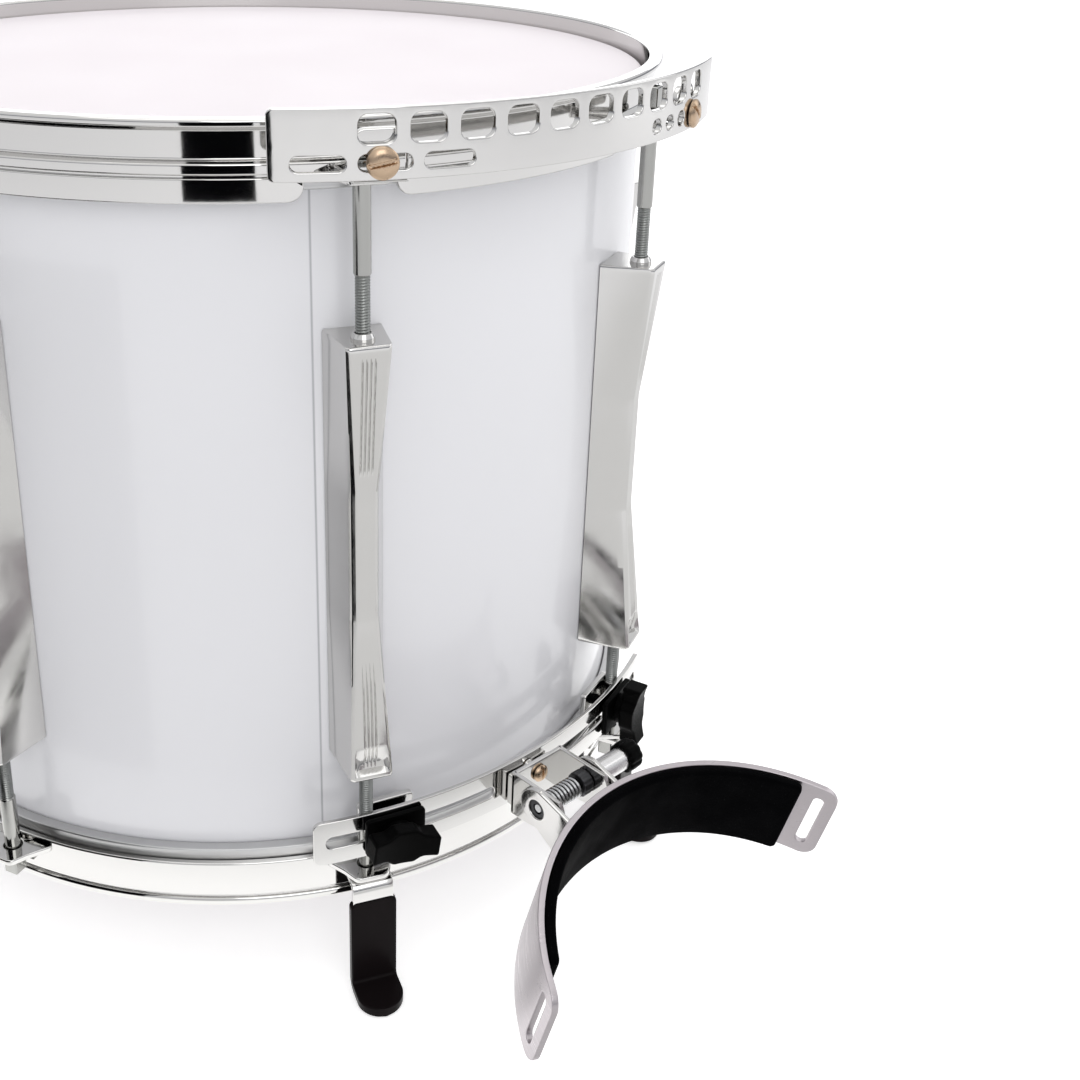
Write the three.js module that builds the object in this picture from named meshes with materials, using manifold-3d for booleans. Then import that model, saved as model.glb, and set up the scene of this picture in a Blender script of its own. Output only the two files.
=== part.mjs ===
// Marching snare drum, 14 inch by 12 inch, with a carrying rail at the top hoop, a second rail on the
// lower tension rods, two dipped feet and a sprung leg rest. Millimetres, +Z up.
// The origin is the middle of the batter head's playing face. The player's side, with the leg rest,
// faces -Y. Everything that repeats round the drum is drawn at the -Y side and turned about Z.
import * as THREE from 'three';
import { mergeVertices } from 'three/addons/utils/BufferGeometryUtils.js';
import Module from 'manifold-3d';

const wasm = await Module();
wasm.setup();

// General
const clearance = 0.3;
const cutOverrun = 2;
const ringSteps = 56;
const roundSteps = 12;
const arcSteps = 3;
const cornerSteps = 1;
const degree = Math.PI / 180;

// Shell
const shellDiameter = 355.6;
const shellDepth = 304.8;
const shellThickness = 6.5;
const bearingEdgeHeight = 3;
const shellRadius = shellDiameter / 2;

// Drumheads: a film that turns down over the shell into an aluminium flesh hoop
const filmThickness = 0.5;
const filmBendRadius = 3;
const fleshHoopWidth = 4.4;
const fleshHoopHeight = 8;
const fleshHoopDrop = 9.5;
const collarThickness = 0.6;

// Hoops
const batterRimRise = 7.3;
const snareRimRise = 9.4;
const hoopInnerGap = 2.4;
const hoopWall = 3.8;
const hoopLipReach = 2.2;
const hoopLipHeight = 2.4;
const topWallHeight = 11;
const topBeadHeight = 5.2;
const grooveHeight = 1.6;
const grooveDepth = 1.4;
const skirtHeight = 8;
const skirtWall = 2.7;
const skirtNotchHalfAngle = 6.2;
const bottomLipHeight = 4.8;
const bottomFaceHeight = 16;

// Lugs, eight round the shell, each with a rod from above and a rod from below
const lugCount = 8;
const firstLugAngle = 22.5;
const lugPitchAngle = 360 / lugCount;
const lugLength = 179.5;
const lugDrop = 67.3;
const lugBaseWidth = 22.5;
const lugEndWidth = 16.8;
const lugWaistWidth = 10.6;
const lugTopReach = 22.4;
const lugWaistReach = 16.1;
const lugBottomReach = 23.5;
const lugEndBevel = 1.2;
const lugWaistBevel = 1.8;
const lugWaistStartShare = 0.38;
const lugWaistEndShare = 0.667;
const rodRadialOffset = 13.6;
const swivelNutRadius = 3.9;
const swivelNutHeight = 2.6;
const swivelNutDepth = 3;

// Ears on the hoops
const earDistance = 20;
const earThickness = 2.5;
const earReach = 14.6;
const earRootHalfWidth = 15;
const earMiddleHalfWidth = 10;
const earTipHalfWidth = 6.4;

// Tension rods
const rodThreadRadius = 2.8;
const rodShankRadius = 3.2;
const rodThreadLength = 23;
const rodSideGap = 0.5;
const rodFlangeRadius = 5;
const rodFlangeHeight = 1.8;
const rodKeySize = 6.4;
const rodKeyHeight = 8.5;
const rodSides = 8;

// Carrying rail: an arc that is a little tighter than the drum, with a row of hook holes
const railArcRadius = 180.3;
const railMiddleGap = 27.1;
const railThickness = 2.5;
const railHeight = 23.4;
const railTopRise = 15;
const railEndReaches = [-36, 27.93];
const railCornerRadius = 2.2;
const railSteps = 24;
const hookHoleCount = 10;
const hookRowMargins = [34.45, 24.98];
const hookHoleWidth = 12.4;
const hookHoleHeight = 9.6;
const hookHoleCorner = 3.4;
const hookHoleDrop = 6.9;
const slotHeight = 5.3;
const slotWidth = 17.8;
const slotDrop = 17.6;
const longSlotShifts = [-20.2, 1.2, 22.7];
const shortSlotWidth = 6.4;
const shortSlotShifts = [-31, -21.1, -11.2, 0];

// Brackets that hold the carrying rail on two upper rods, and their screws
const railBracketThickness = 2.5;
const railBracketHalfWidth = 9.5;
const railBracketRise = 8;
const railScrewShifts = [-7.04, -10.34];
const railScrewHeadRadius = 5.4;
const railScrewHeadHeight = 2.6;
const railScrewRadius = 2.3;
const railScrewLength = 11;
const screwHeadEdgeShare = 0.33;
const screwHeadFlatShare = 0.7;
const screwHeadShoulderShare = 0.87;
const screwSlotWidth = 1.3;
const screwSlotDepth = 1.2;

// Lower rail, outside the lower rods
const lowerRailArcRadius = 221;
const lowerRailRodGap = 0.34;
const lowerRailThickness = 2;
const lowerRailHeight = 20.4;
const lowerRailBottomRise = 27.4;
const lowerRailEndMargin = 8;
const lowerRailCornerRadius = 3.2;
const lowerRailSteps = 20;
const lowerSlotInnerReach = 44.7;
const lowerSlotOuterReach = 25.2;
const lowerSlotHeight = 5.6;

// Clamps that grip the lower rods between a black plate and a back plate
const clampBoltShift = 10;
const clampGripSlack = 0.1;
const clampPlateWidth = 25.5;
const clampPlateHeight = 17;
const clampPlateThickness = 2.4;
const clampPlateCorner = 0.6;
const clampBackThickness = 3;
const clampBackHalfWidth = 12;
const clampBoltRadius = 2.5;
const clampBoltLength = 17;
const knobRadius = 14.4;
const knobWaistRadius = 8.3;
const knobWings = 2;
const knobOutlineSteps = 20;
const knobRestTurns = [-8, 90];
const knobThickness = 9;
const knobHubRadius = 7.5;
const knobHubHeight = 3;

// Feet: a steel strap under the lower ear, dipped in black vinyl
const footWidth = 18.6;
const footThickness = 2.5;
const footReach = 15.3;
const footDrop = 52;
const footToeLength = 18;
const sleeveWall = 1.4;
const sleeveTopDrop = 9;

// Leg rest: fixed bracket, axle and spring
const bracketStandoff = 5;
const bracketHalfWidth = 14.5;
const bracketWall = 2;
const bracketHeight = 20.6;
const bracketTopRise = 48.6;
const bracketNoseRadius = 12.4;
const bracketNoseEndAngle = -69.2;
const bracketLowerHeight = 9;
const axleStandoff = 22.1;
const axleRise = 41.1;
const axleRadius = 2.6;
const axleHeadRadius = 2.9;
const axleLength = 58;
const springWireRadius = 0.75;
const springRadius = 4;
const springCurls = 9;
const springCurlSteps = 8;
const springSides = 5;
const bushingRadius = 5.4;
const bushingLength = 5.2;
const bracketScrewRadius = 4.2;
const bracketScrewHeight = 2.2;
const bracketScrewRise = 42.5;

// Leg rest: swinging bracket, plate and pad
const swingEarGap = 0.4;
const swingWall = 2.3;
const swingEarRadius = 9;
const swingEarHole = 4.2;
const swingWebDistance = 14.6;
const swingWebHeight = 21;
const swingWebDrop = 12;
const restTilt = 15.5;
const restRadius = 93;
const restThickness = 2.6;
const restWidth = 39;
const restHalfAngle = 67.2;
const restCentreRise = 2.4;
const restSteps = 26;
const restSlotAngle = 62.6;
const restSlotWidth = 5;
const restSlotHeight = 27;
const restCornerRadius = 7;
const padThickness = 4;
const padHalfAngle = 57;
const legKnobRadius = 6.9;
const legKnobLength = 8;
const legKnobFlutes = 10;
const legKnobFluteDepth = 0.5;
const legKnobFluteSteps = 2;
const legKnobCollarRadius = 5;
const legKnobCollarLength = 17;

// Snare strainer, butt plate and snares
const strainerAngle = 90;
const buttAngle = 270;
const strainerWidth = 34;
const strainerHeight = 74;
const strainerDepth = 13;
const strainerCorner = 4.3;
const strainerRise = 40;
const leverWidth = 12;
const leverThickness = 6;
const leverLength = 62;
const leverCorner = 4;
const leverPivotRise = 98;
const leverPivotGap = 0.5;
const tensionKnobRadius = 8;
const tensionKnobHeight = 14;
const tensionScrewRadius = 2.4;
const tensionScrewLength = 10;
const buttWidth = 34;
const buttHeight = 34;
const buttDepth = 10;
const buttCorner = 3.3;
const buttRise = 42;
const snareCount = 12;
const snarePitch = 3.4;
const snareRadius = 0.7;
const snareEndWidth = 14;
const snareEndThickness = 1.6;
const snareReachShare = 0.93;
const ventRadius = 7;
const ventHoleRadius = 3;
const ventFlangeHeight = 1.6;
const ventAngle = 180;

// Materials
function finish(colour, roughness, metalness) {
  return new THREE.MeshStandardMaterial({ color: colour, roughness, metalness });
}
const chrome = () => finish(0xd9dadb, 0.12, 1);
const brass = () => finish(0xc9a36a, 0.3, 1);
const steel = () => finish(0xb9bbbd, 0.28, 1);
const blackPlastic = () => finish(0x151517, 0.45, 0);
const blackVinyl = () => finish(0x1b1818, 0.55, 0);
const coatedFilm = () => finish(0xf2eef0, 0.6, 0);
const glossWhite = () => finish(0xe8e8ec, 0.18, 0);
const satinAluminium = () => finish(0xbdb9bb, 0.4, 1);
const padRubber = () => finish(0x100e13, 0.85, 0);

const drum = new THREE.Group();

// Solids

function toSolid(geometry) {
  const bare = geometry.index ? geometry.clone() : geometry;
  bare.deleteAttribute('normal');
  bare.deleteAttribute('uv');
  const merged = mergeVertices(bare, 1e-4);
  const vertProperties = new Float32Array(merged.attributes.position.array);
  const triVerts = new Uint32Array(merged.index.array);
  return new wasm.Manifold(new wasm.Mesh({ numProp: 3, vertProperties, triVerts }));
}

function toGeometry(solid) {
  const data = solid.getMesh();
  const geometry = new THREE.BufferGeometry();
  geometry.setAttribute('position', new THREE.BufferAttribute(data.vertProperties, 3));
  geometry.setIndex(new THREE.BufferAttribute(data.triVerts, 1));
  geometry.computeVertexNormals();
  return geometry;
}

function addPiece(name, solid, material) {
  const piece = new THREE.Mesh(toGeometry(solid), material);
  piece.name = name;
  drum.add(piece);
  return piece;
}

function signedArea(points) {
  return points.reduce((sum, point, index) => {
    const next = points[(index + 1) % points.length];
    return sum + point[0] * next[1] - next[0] * point[1];
  }, 0);
}

// A ring about Z from an outline of [radius, height] points, in any order of turning
function ring(outline, steps = ringSteps) {
  const ordered = signedArea(outline) > 0 ? outline : [...outline].reverse();
  const closed = [...ordered, ordered[0]].map(([radius, height]) => new THREE.Vector2(radius, height));
  return toSolid(new THREE.LatheGeometry(closed, steps).rotateX(Math.PI / 2));
}

// A turned solid about Z from an outline that starts and ends on the axis
function turned(outline, steps) {
  const ordered = signedArea(outline) > 0 ? outline : [...outline].reverse();
  const start = ordered.findIndex(([radius], index) => {
    const before = ordered[(index + ordered.length - 1) % ordered.length];
    return radius === 0 && before[0] === 0;
  });
  const profile = [...ordered.slice(start), ...ordered.slice(0, start)];
  const points = profile.map(([radius, height]) => new THREE.Vector2(radius, height));
  return toSolid(new THREE.LatheGeometry(points, steps).rotateX(Math.PI / 2));
}

function outlineShape(points) {
  return new THREE.Shape(points.map(([across, up]) => new THREE.Vector2(across, up)));
}

function extruded(shape, depth, curveSegments = arcSteps) {
  return new THREE.ExtrudeGeometry(shape, { depth, bevelEnabled: false, curveSegments });
}

// Extruded up from the height given, drawn in X and Y
function upward(shape, height, bottom, curveSegments) {
  return toSolid(extruded(shape, height, curveSegments).translate(0, 0, bottom));
}

// Drawn in X and Z, extruded outwards, which is along -Y, from the distance given
function outward(shape, depth, start, curveSegments) {
  return toSolid(extruded(shape, depth, curveSegments).rotateX(Math.PI / 2).translate(0, -start, 0));
}

// Drawn in distance outwards and Z, extruded along X between two places
function sideways(shape, from, to, curveSegments) {
  const basis = new THREE.Matrix4().makeBasis(
    new THREE.Vector3(0, -1, 0),
    new THREE.Vector3(0, 0, 1),
    new THREE.Vector3(-1, 0, 0),
  );
  return toSolid(extruded(shape, to - from, curveSegments).applyMatrix4(basis).translate(to, 0, 0));
}

// Turned about Z by an angle, seen from above, from the -Y side towards +X
function around(solid, angle) {
  return solid.rotate([0, 0, angle]);
}

function moved(solid, x, y, z) {
  return solid.translate([x, y, z]);
}

function joined(solids) {
  return solids.reduce((whole, solid) => whole.add(solid));
}

function box(width, depth, height, x, y, z) {
  return toSolid(new THREE.BoxGeometry(width, depth, height).translate(x, y, z));
}

function cylinderUp(radius, height, bottom, sides = roundSteps) {
  const shaft = new THREE.CylinderGeometry(radius, radius, height, sides);
  return toSolid(shaft.rotateX(Math.PI / 2).translate(0, 0, bottom + height / 2));
}

function cylinderOut(radius, length, start, height, sides = roundSteps) {
  return toSolid(new THREE.CylinderGeometry(radius, radius, length, sides)
    .translate(0, -start - length / 2, height));
}

function cylinderAcross(radius, from, to, out, height, sides = roundSteps) {
  const shaft = new THREE.CylinderGeometry(radius, radius, to - from, sides);
  return toSolid(shaft.rotateZ(Math.PI / 2).translate((from + to) / 2, -out, height));
}

function roundedRectangle(width, height, radius, x = 0, y = 0) {
  const shape = new THREE.Shape();
  const right = x + width / 2;
  const left = x - width / 2;
  const top = y + height / 2;
  const bottom = y - height / 2;
  shape.moveTo(left + radius, bottom);
  shape.lineTo(right - radius, bottom);
  shape.absarc(right - radius, bottom + radius, radius, -Math.PI / 2, 0, false);
  shape.absarc(right - radius, top - radius, radius, 0, Math.PI / 2, false);
  shape.absarc(left + radius, top - radius, radius, Math.PI / 2, Math.PI, false);
  shape.absarc(left + radius, bottom + radius, radius, Math.PI, 1.5 * Math.PI, false);
  return shape;
}

function obround(width, height) {
  const shape = new THREE.Shape();
  const radius = height / 2;
  const straight = width / 2 - radius;
  shape.absarc(straight, 0, radius, -Math.PI / 2, Math.PI / 2, false);
  shape.absarc(-straight, 0, radius, Math.PI / 2, 1.5 * Math.PI, false);
  return shape;
}

// Levels along Z
const shellTop = -filmThickness - clearance;
const shellBottom = shellTop - shellDepth;
const snareHeadFace = shellBottom - clearance - filmThickness;
const hoopBottom = snareHeadFace - snareRimRise;
const lugBottom = hoopBottom + lugDrop;
const lugTop = lugBottom + lugLength;
const lugMiddle = (lugBottom + lugTop) / 2;
const topEarBottom = batterRimRise - earDistance;
const topEarTop = topEarBottom + earThickness;
const bottomEarTop = hoopBottom + earDistance;
const bottomEarBottom = bottomEarTop - earThickness;

// Radii
const collarInner = shellRadius + clearance;
const collarOuter = collarInner + collarThickness;
const fleshHoopOuter = collarOuter + fleshHoopWidth;
const hoopInner = shellRadius + hoopInnerGap;
const hoopOuter = hoopInner + hoopWall;
const hoopEdge = hoopOuter + hoopLipReach;
const rodRadius = shellRadius + rodRadialOffset;
const earTip = hoopEdge + earReach;
const earRootRadius = hoopEdge - skirtWall / 2;
const lugBack = shellRadius * Math.cos(Math.PI / ringSteps) + clearance;
const lugAngles = Array.from({ length: lugCount }, (_, index) => firstLugAngle + index * lugPitchAngle);
const rodAcross = Math.sin(firstLugAngle * degree);
const rodForward = Math.cos(firstLugAngle * degree);

// The angle, about the centre of an arc, of a distance along it
function alongDegrees(distance, radius) {
  return distance / radius / degree;
}

// Shell: a white wrapped cylinder with bevelled bearing edges and a vent hole
const shellInner = shellRadius - shellThickness;
const shellMiddle = (shellRadius + shellInner) / 2;
const ventHole = around(
  cylinderOut(ventHoleRadius, shellThickness + 2 * cutOverrun, shellInner - cutOverrun, lugMiddle),
  ventAngle,
);
addPiece('shell', ring([
  [shellInner, shellBottom + bearingEdgeHeight],
  [shellMiddle, shellBottom],
  [shellRadius, shellBottom + bearingEdgeHeight],
  [shellRadius, shellTop - bearingEdgeHeight],
  [shellMiddle, shellTop],
  [shellInner, shellTop - bearingEdgeHeight],
]).subtract(ventHole), glossWhite());

// Vent grommet
const ventBody = ring([
  [ventHoleRadius - 2 * clearance - collarThickness, -shellThickness],
  [ventHoleRadius - clearance, -shellThickness],
  [ventHoleRadius - clearance, clearance],
  [ventRadius, clearance],
  [ventRadius, ventFlangeHeight],
  [ventHoleRadius - 2 * clearance - collarThickness, ventFlangeHeight],
], roundSteps);
const ventPlaced = ventBody.rotate([90, 0, 0]).translate([0, -shellRadius, lugMiddle]);
addPiece('air_vent', around(ventPlaced, ventAngle), chrome());

// Drumheads
const filmFlatRadius = collarOuter - filmBendRadius;
const drumheadOutline = [
  [0, 0],
  [filmFlatRadius, 0],
  [collarOuter, -filmBendRadius],
  [collarOuter, -fleshHoopDrop],
  [fleshHoopOuter, -fleshHoopDrop],
  [fleshHoopOuter, -fleshHoopDrop - fleshHoopHeight],
  [collarInner, -fleshHoopDrop - fleshHoopHeight],
  [collarInner, -filmBendRadius - filmThickness / 2],
  [filmFlatRadius, -filmThickness],
  [0, -filmThickness],
];
addPiece('batter_head', turned(drumheadOutline, ringSteps), coatedFilm());
const snareHeadOutline = drumheadOutline.map(([radius, height]) => [radius, snareHeadFace - height]);
addPiece('snare_head', turned(snareHeadOutline, ringSteps), coatedFilm());

// Ears
function earShape() {
  return outlineShape([
    [-earRootHalfWidth, -earRootRadius],
    [-earRootHalfWidth, -hoopEdge],
    [-earMiddleHalfWidth, -(hoopEdge + earTip) / 2],
    [-earTipHalfWidth, -earTip],
    [earTipHalfWidth, -earTip],
    [earMiddleHalfWidth, -(hoopEdge + earTip) / 2],
    [earRootHalfWidth, -hoopEdge],
    [earRootHalfWidth, -earRootRadius],
  ]);
}

function withEars(hoop, bottom) {
  const ear = upward(earShape(), earThickness, bottom);
  const hole = moved(
    cylinderUp(rodShankRadius + rodSideGap, earThickness + 2 * cutOverrun, bottom - cutOverrun, rodSides),
    0, -rodRadius, 0,
  );
  const withTabs = joined([hoop, ...lugAngles.map((angle) => around(ear, angle))]);
  return lugAngles.reduce((whole, angle) => whole.subtract(around(hole, angle)), withTabs);
}

// Top hoop: rolled lip, wall, bead and a skirt that is cut away at each rod
const topWallBottom = batterRimRise - hoopLipHeight - topWallHeight;
const topBeadBottom = topWallBottom - topBeadHeight;
const skirtTop = topBeadBottom - grooveHeight;
const skirtBottom = skirtTop - skirtHeight;
const fleshSeat = -fleshHoopDrop + clearance;
const skirtInner = hoopEdge - skirtWall;
const topHoopRing = ring([
  [hoopInner, batterRimRise],
  [hoopEdge, batterRimRise],
  [hoopEdge, batterRimRise - hoopLipHeight],
  [hoopOuter, batterRimRise - hoopLipHeight - grooveHeight],
  [hoopOuter, topWallBottom],
  [hoopEdge, topWallBottom - grooveHeight],
  [hoopEdge, topBeadBottom],
  [hoopEdge - grooveDepth, topBeadBottom],
  [hoopEdge - grooveDepth, skirtTop],
  [hoopEdge, skirtTop],
  [hoopEdge, skirtBottom],
  [skirtInner, skirtBottom],
  [skirtInner, fleshSeat],
  [hoopInner, fleshSeat],
]);
const notchHalfWidth = hoopEdge * Math.sin(skirtNotchHalfAngle * degree);
const notchTop = topEarBottom;
const skirtNotch = box(
  2 * notchHalfWidth, 2 * earReach, notchTop - skirtBottom + cutOverrun,
  0, -hoopEdge, (notchTop + skirtBottom - cutOverrun) / 2,
);
const notchedTopHoop = lugAngles.reduce(
  (whole, angle) => whole.subtract(around(skirtNotch, angle)), topHoopRing,
);
addPiece('top_hoop', withEars(notchedTopHoop, topEarBottom), chrome());

// Bottom hoop: lip, groove and a plain face
const bottomFaceTop = hoopBottom + bottomLipHeight + grooveHeight + bottomFaceHeight;
const snareFleshSeat = snareHeadFace + fleshHoopDrop - clearance;
const bottomHoopRing = ring([
  [hoopInner, hoopBottom],
  [hoopEdge, hoopBottom],
  [hoopEdge, hoopBottom + bottomLipHeight],
  [hoopEdge - grooveDepth, hoopBottom + bottomLipHeight],
  [hoopEdge - grooveDepth, hoopBottom + bottomLipHeight + grooveHeight],
  [hoopEdge, hoopBottom + bottomLipHeight + grooveHeight],
  [hoopEdge, bottomFaceTop],
  [skirtInner, bottomFaceTop],
  [skirtInner, snareFleshSeat],
  [hoopInner, snareFleshSeat],
]);
addPiece('bottom_hoop', withEars(bottomHoopRing, bottomEarBottom), chrome());

// Lugs: a long box casting that flares from a straight waist to both ends, with a nut at each end
function loft(rings) {
  const count = rings[0].length;
  const positions = rings.flat().flat();
  const faces = [];
  for (let level = 0; level + 1 < rings.length; level += 1) {
    for (let index = 0; index < count; index += 1) {
      const here = level * count + index;
      const next = level * count + (index + 1) % count;
      faces.push(here, next, next + count, here, next + count, here + count);
    }
  }
  const last = (rings.length - 1) * count;
  for (let index = 1; index + 1 < count; index += 1) {
    faces.push(0, index + 1, index);
    faces.push(last, last + index, last + index + 1);
  }
  const geometry = new THREE.BufferGeometry();
  geometry.setAttribute('position', new THREE.Float32BufferAttribute(positions, 3));
  geometry.setIndex(faces);
  return toSolid(geometry);
}

// The section at a height, given as a share of the lug's length, from six points
function lugSection(share, width, reach, bevel) {
  const baseHalf = lugBaseWidth / 2;
  const sideHalf = width / 2;
  const sideFront = -shellRadius - reach + bevel;
  const height = lugBottom + lugLength * share;
  return [
    [baseHalf, -lugBack, height],
    [-baseHalf, -lugBack, height],
    [-sideHalf, sideFront, height],
    [-sideHalf + bevel, sideFront - bevel, height],
    [sideHalf - bevel, sideFront - bevel, height],
    [sideHalf, sideFront, height],
  ];
}
const rodPocket = (bottom, height) => moved(
  cylinderUp(rodThreadRadius + rodSideGap, height, bottom, rodSides),
  0, -rodRadius, 0,
);
const nutRing = (bottom) => moved(
  cylinderUp(swivelNutRadius, swivelNutHeight + swivelNutDepth, bottom, rodSides),
  0, -rodRadius, 0,
);
const pocketDepth = swivelNutDepth + rodThreadLength / 2;
const lugBody = joined([
  loft([
    lugSection(0, lugEndWidth, lugBottomReach, lugEndBevel),
    lugSection(lugWaistStartShare, lugWaistWidth, lugWaistReach, lugWaistBevel),
    lugSection(lugWaistEndShare, lugWaistWidth, lugWaistReach, lugWaistBevel),
    lugSection(1, lugEndWidth, lugTopReach, lugEndBevel),
  ]),
  nutRing(lugTop - swivelNutDepth),
  nutRing(lugBottom - swivelNutHeight),
])
  .subtract(rodPocket(lugTop - pocketDepth, pocketDepth + swivelNutHeight + cutOverrun))
  .subtract(rodPocket(lugBottom - swivelNutHeight - cutOverrun, pocketDepth + swivelNutHeight + cutOverrun));
lugAngles.forEach((angle, index) => {
  addPiece(`lug_${index + 1}`, around(lugBody, angle), chrome());
});

// Tension rods: thread, shank, washer flange and square key head
function rodSolid(length) {
  const flangeTop = length + rodFlangeHeight;
  const threadTop = rodThreadLength + pocketDepth;
  return turned([
    [0, 0],
    [rodThreadRadius, 0],
    [rodThreadRadius, threadTop],
    [rodShankRadius, threadTop],
    [rodShankRadius, length],
    [rodFlangeRadius, length],
    [rodFlangeRadius, flangeTop],
    [0, flangeTop],
  ], rodSides).add(box(rodKeySize, rodKeySize, rodKeyHeight, 0, 0, flangeTop + rodKeyHeight / 2));
}

const railLugAngles = [-firstLugAngle, firstLugAngle];
const carriesRail = (angle) => railLugAngles.some((place) => (angle - place) % 360 === 0);
const rodTip = lugTop - pocketDepth + clearance;
lugAngles.forEach((angle, index) => {
  const seat = topEarTop + clearance + (carriesRail(angle) ? railBracketThickness + clearance : 0);
  const rod = moved(rodSolid(seat - rodTip), 0, -rodRadius, rodTip);
  addPiece(`upper_rod_${index + 1}`, around(rod, angle), chrome());
});

const lowerRodTip = lugBottom + pocketDepth - clearance;
lugAngles.forEach((angle, index) => {
  const seat = bottomEarBottom - clearance - (carriesRail(angle) ? footThickness + clearance : 0);
  const upsideDown = rodSolid(lowerRodTip - seat).rotate([180, 0, 0]);
  const rod = moved(upsideDown, 0, -rodRadius, lowerRodTip);
  addPiece(`lower_rod_${index + 1}`, around(rod, angle), chrome());
});

// Rails
function arcStrip(radius, thickness, offset, fromAngle, toAngle, bottom, height, steps) {
  const points = [];
  for (let step = 0; step <= steps; step += 1) {
    const turn = (fromAngle + (toAngle - fromAngle) * step / steps) * degree;
    points.push([radius * Math.sin(turn), -radius * Math.cos(turn) - offset]);
  }
  const inner = points.map(([x, y]) => {
    const scale = (radius - thickness) / radius;
    return [x * scale, (y + offset) * scale - offset];
  });
  return upward(outlineShape([...points, ...inner.reverse()]), height, bottom);
}

// A cutter or piece that is drawn at the middle of an arc, turned along that arc
function alongArc(solid, offset, angle) {
  return solid.translate([0, offset, 0]).rotate([0, 0, angle]).translate([0, -offset, 0]);
}

// The waste outside the two round corners of a strip's end. The strip lies on the other side of X = 0
// from the side given, and the cutter runs outwards from the start given.
function endCorners(side, bottom, height, corner, depth, start) {
  const reach = 2 * corner;
  const keep = outward(
    roundedRectangle(2 * reach, height, corner, -side * reach, bottom + height / 2),
    depth + 2 * cutOverrun, start - cutOverrun,
  );
  const waste = outward(outlineShape([
    [-corner, bottom - corner],
    [corner, bottom - corner],
    [corner, bottom + height + corner],
    [-corner, bottom + height + corner],
  ]), depth, start);
  return waste.subtract(keep);
}

const railTop = railTopRise;
const railBottom = railTop - railHeight;
const railInnerRadius = railArcRadius - railThickness;
const railArcOffset = hoopEdge + railMiddleGap - railInnerRadius;
const railRodAngle = Math.asin(rodRadius * rodAcross / railInnerRadius) / degree;
const railSides = [-1, 1];
const railScrewAngles = railSides.map((side, index) => (
  side * railRodAngle + alongDegrees(railScrewShifts[index], railInnerRadius)
));
const railEndAngles = railSides.map((_, index) => (
  railScrewAngles[index] + alongDegrees(railEndReaches[index], railInnerRadius)
));
const railCutStart = railInnerRadius + railArcOffset - cutOverrun;
const railCutDepth = railThickness + 2 * cutOverrun;
const hookHole = outward(
  roundedRectangle(hookHoleWidth, hookHoleHeight, hookHoleCorner), railCutDepth, railCutStart,
)  .translate([0, 0, railTop - hookHoleDrop]);
const railSlot = (width) => outward(obround(width, slotHeight), railCutDepth, railCutStart)
  .translate([0, 0, railTop - slotDrop]);
const hookHoleFirst = railEndAngles[0] + alongDegrees(hookRowMargins[0], railInnerRadius);
const hookHoleLast = railEndAngles[1] - alongDegrees(hookRowMargins[1], railInnerRadius);
const hookHoleAngles = Array.from(
  { length: hookHoleCount },
  (_, index) => hookHoleFirst + (hookHoleLast - hookHoleFirst) * index / (hookHoleCount - 1),
);
const longSlotAngles = longSlotShifts.map((shift) => (
  railScrewAngles[0] + alongDegrees(shift, railInnerRadius)
));
const shortSlotAngles = shortSlotShifts.map((shift) => (
  railScrewAngles[1] + alongDegrees(shift, railInnerRadius)
));
const railStrip = arcStrip(
  railArcRadius, railThickness, railArcOffset, ...railEndAngles, railBottom, railHeight, railSteps,
);
const railCuts = [
  ...hookHoleAngles.map((angle) => alongArc(hookHole, railArcOffset, angle)),
  ...longSlotAngles.map((angle) => alongArc(railSlot(slotWidth), railArcOffset, angle)),
  ...shortSlotAngles.map((angle) => alongArc(railSlot(shortSlotWidth), railArcOffset, angle)),
  ...railEndAngles.map((angle, index) => alongArc(endCorners(
    railSides[index], railBottom, railHeight, railCornerRadius, railCutDepth, railCutStart,
  ), railArcOffset, angle)),
];
addPiece('carrying_rail', railCuts.reduce((whole, cut) => whole.subtract(cut), railStrip), chrome());

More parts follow.
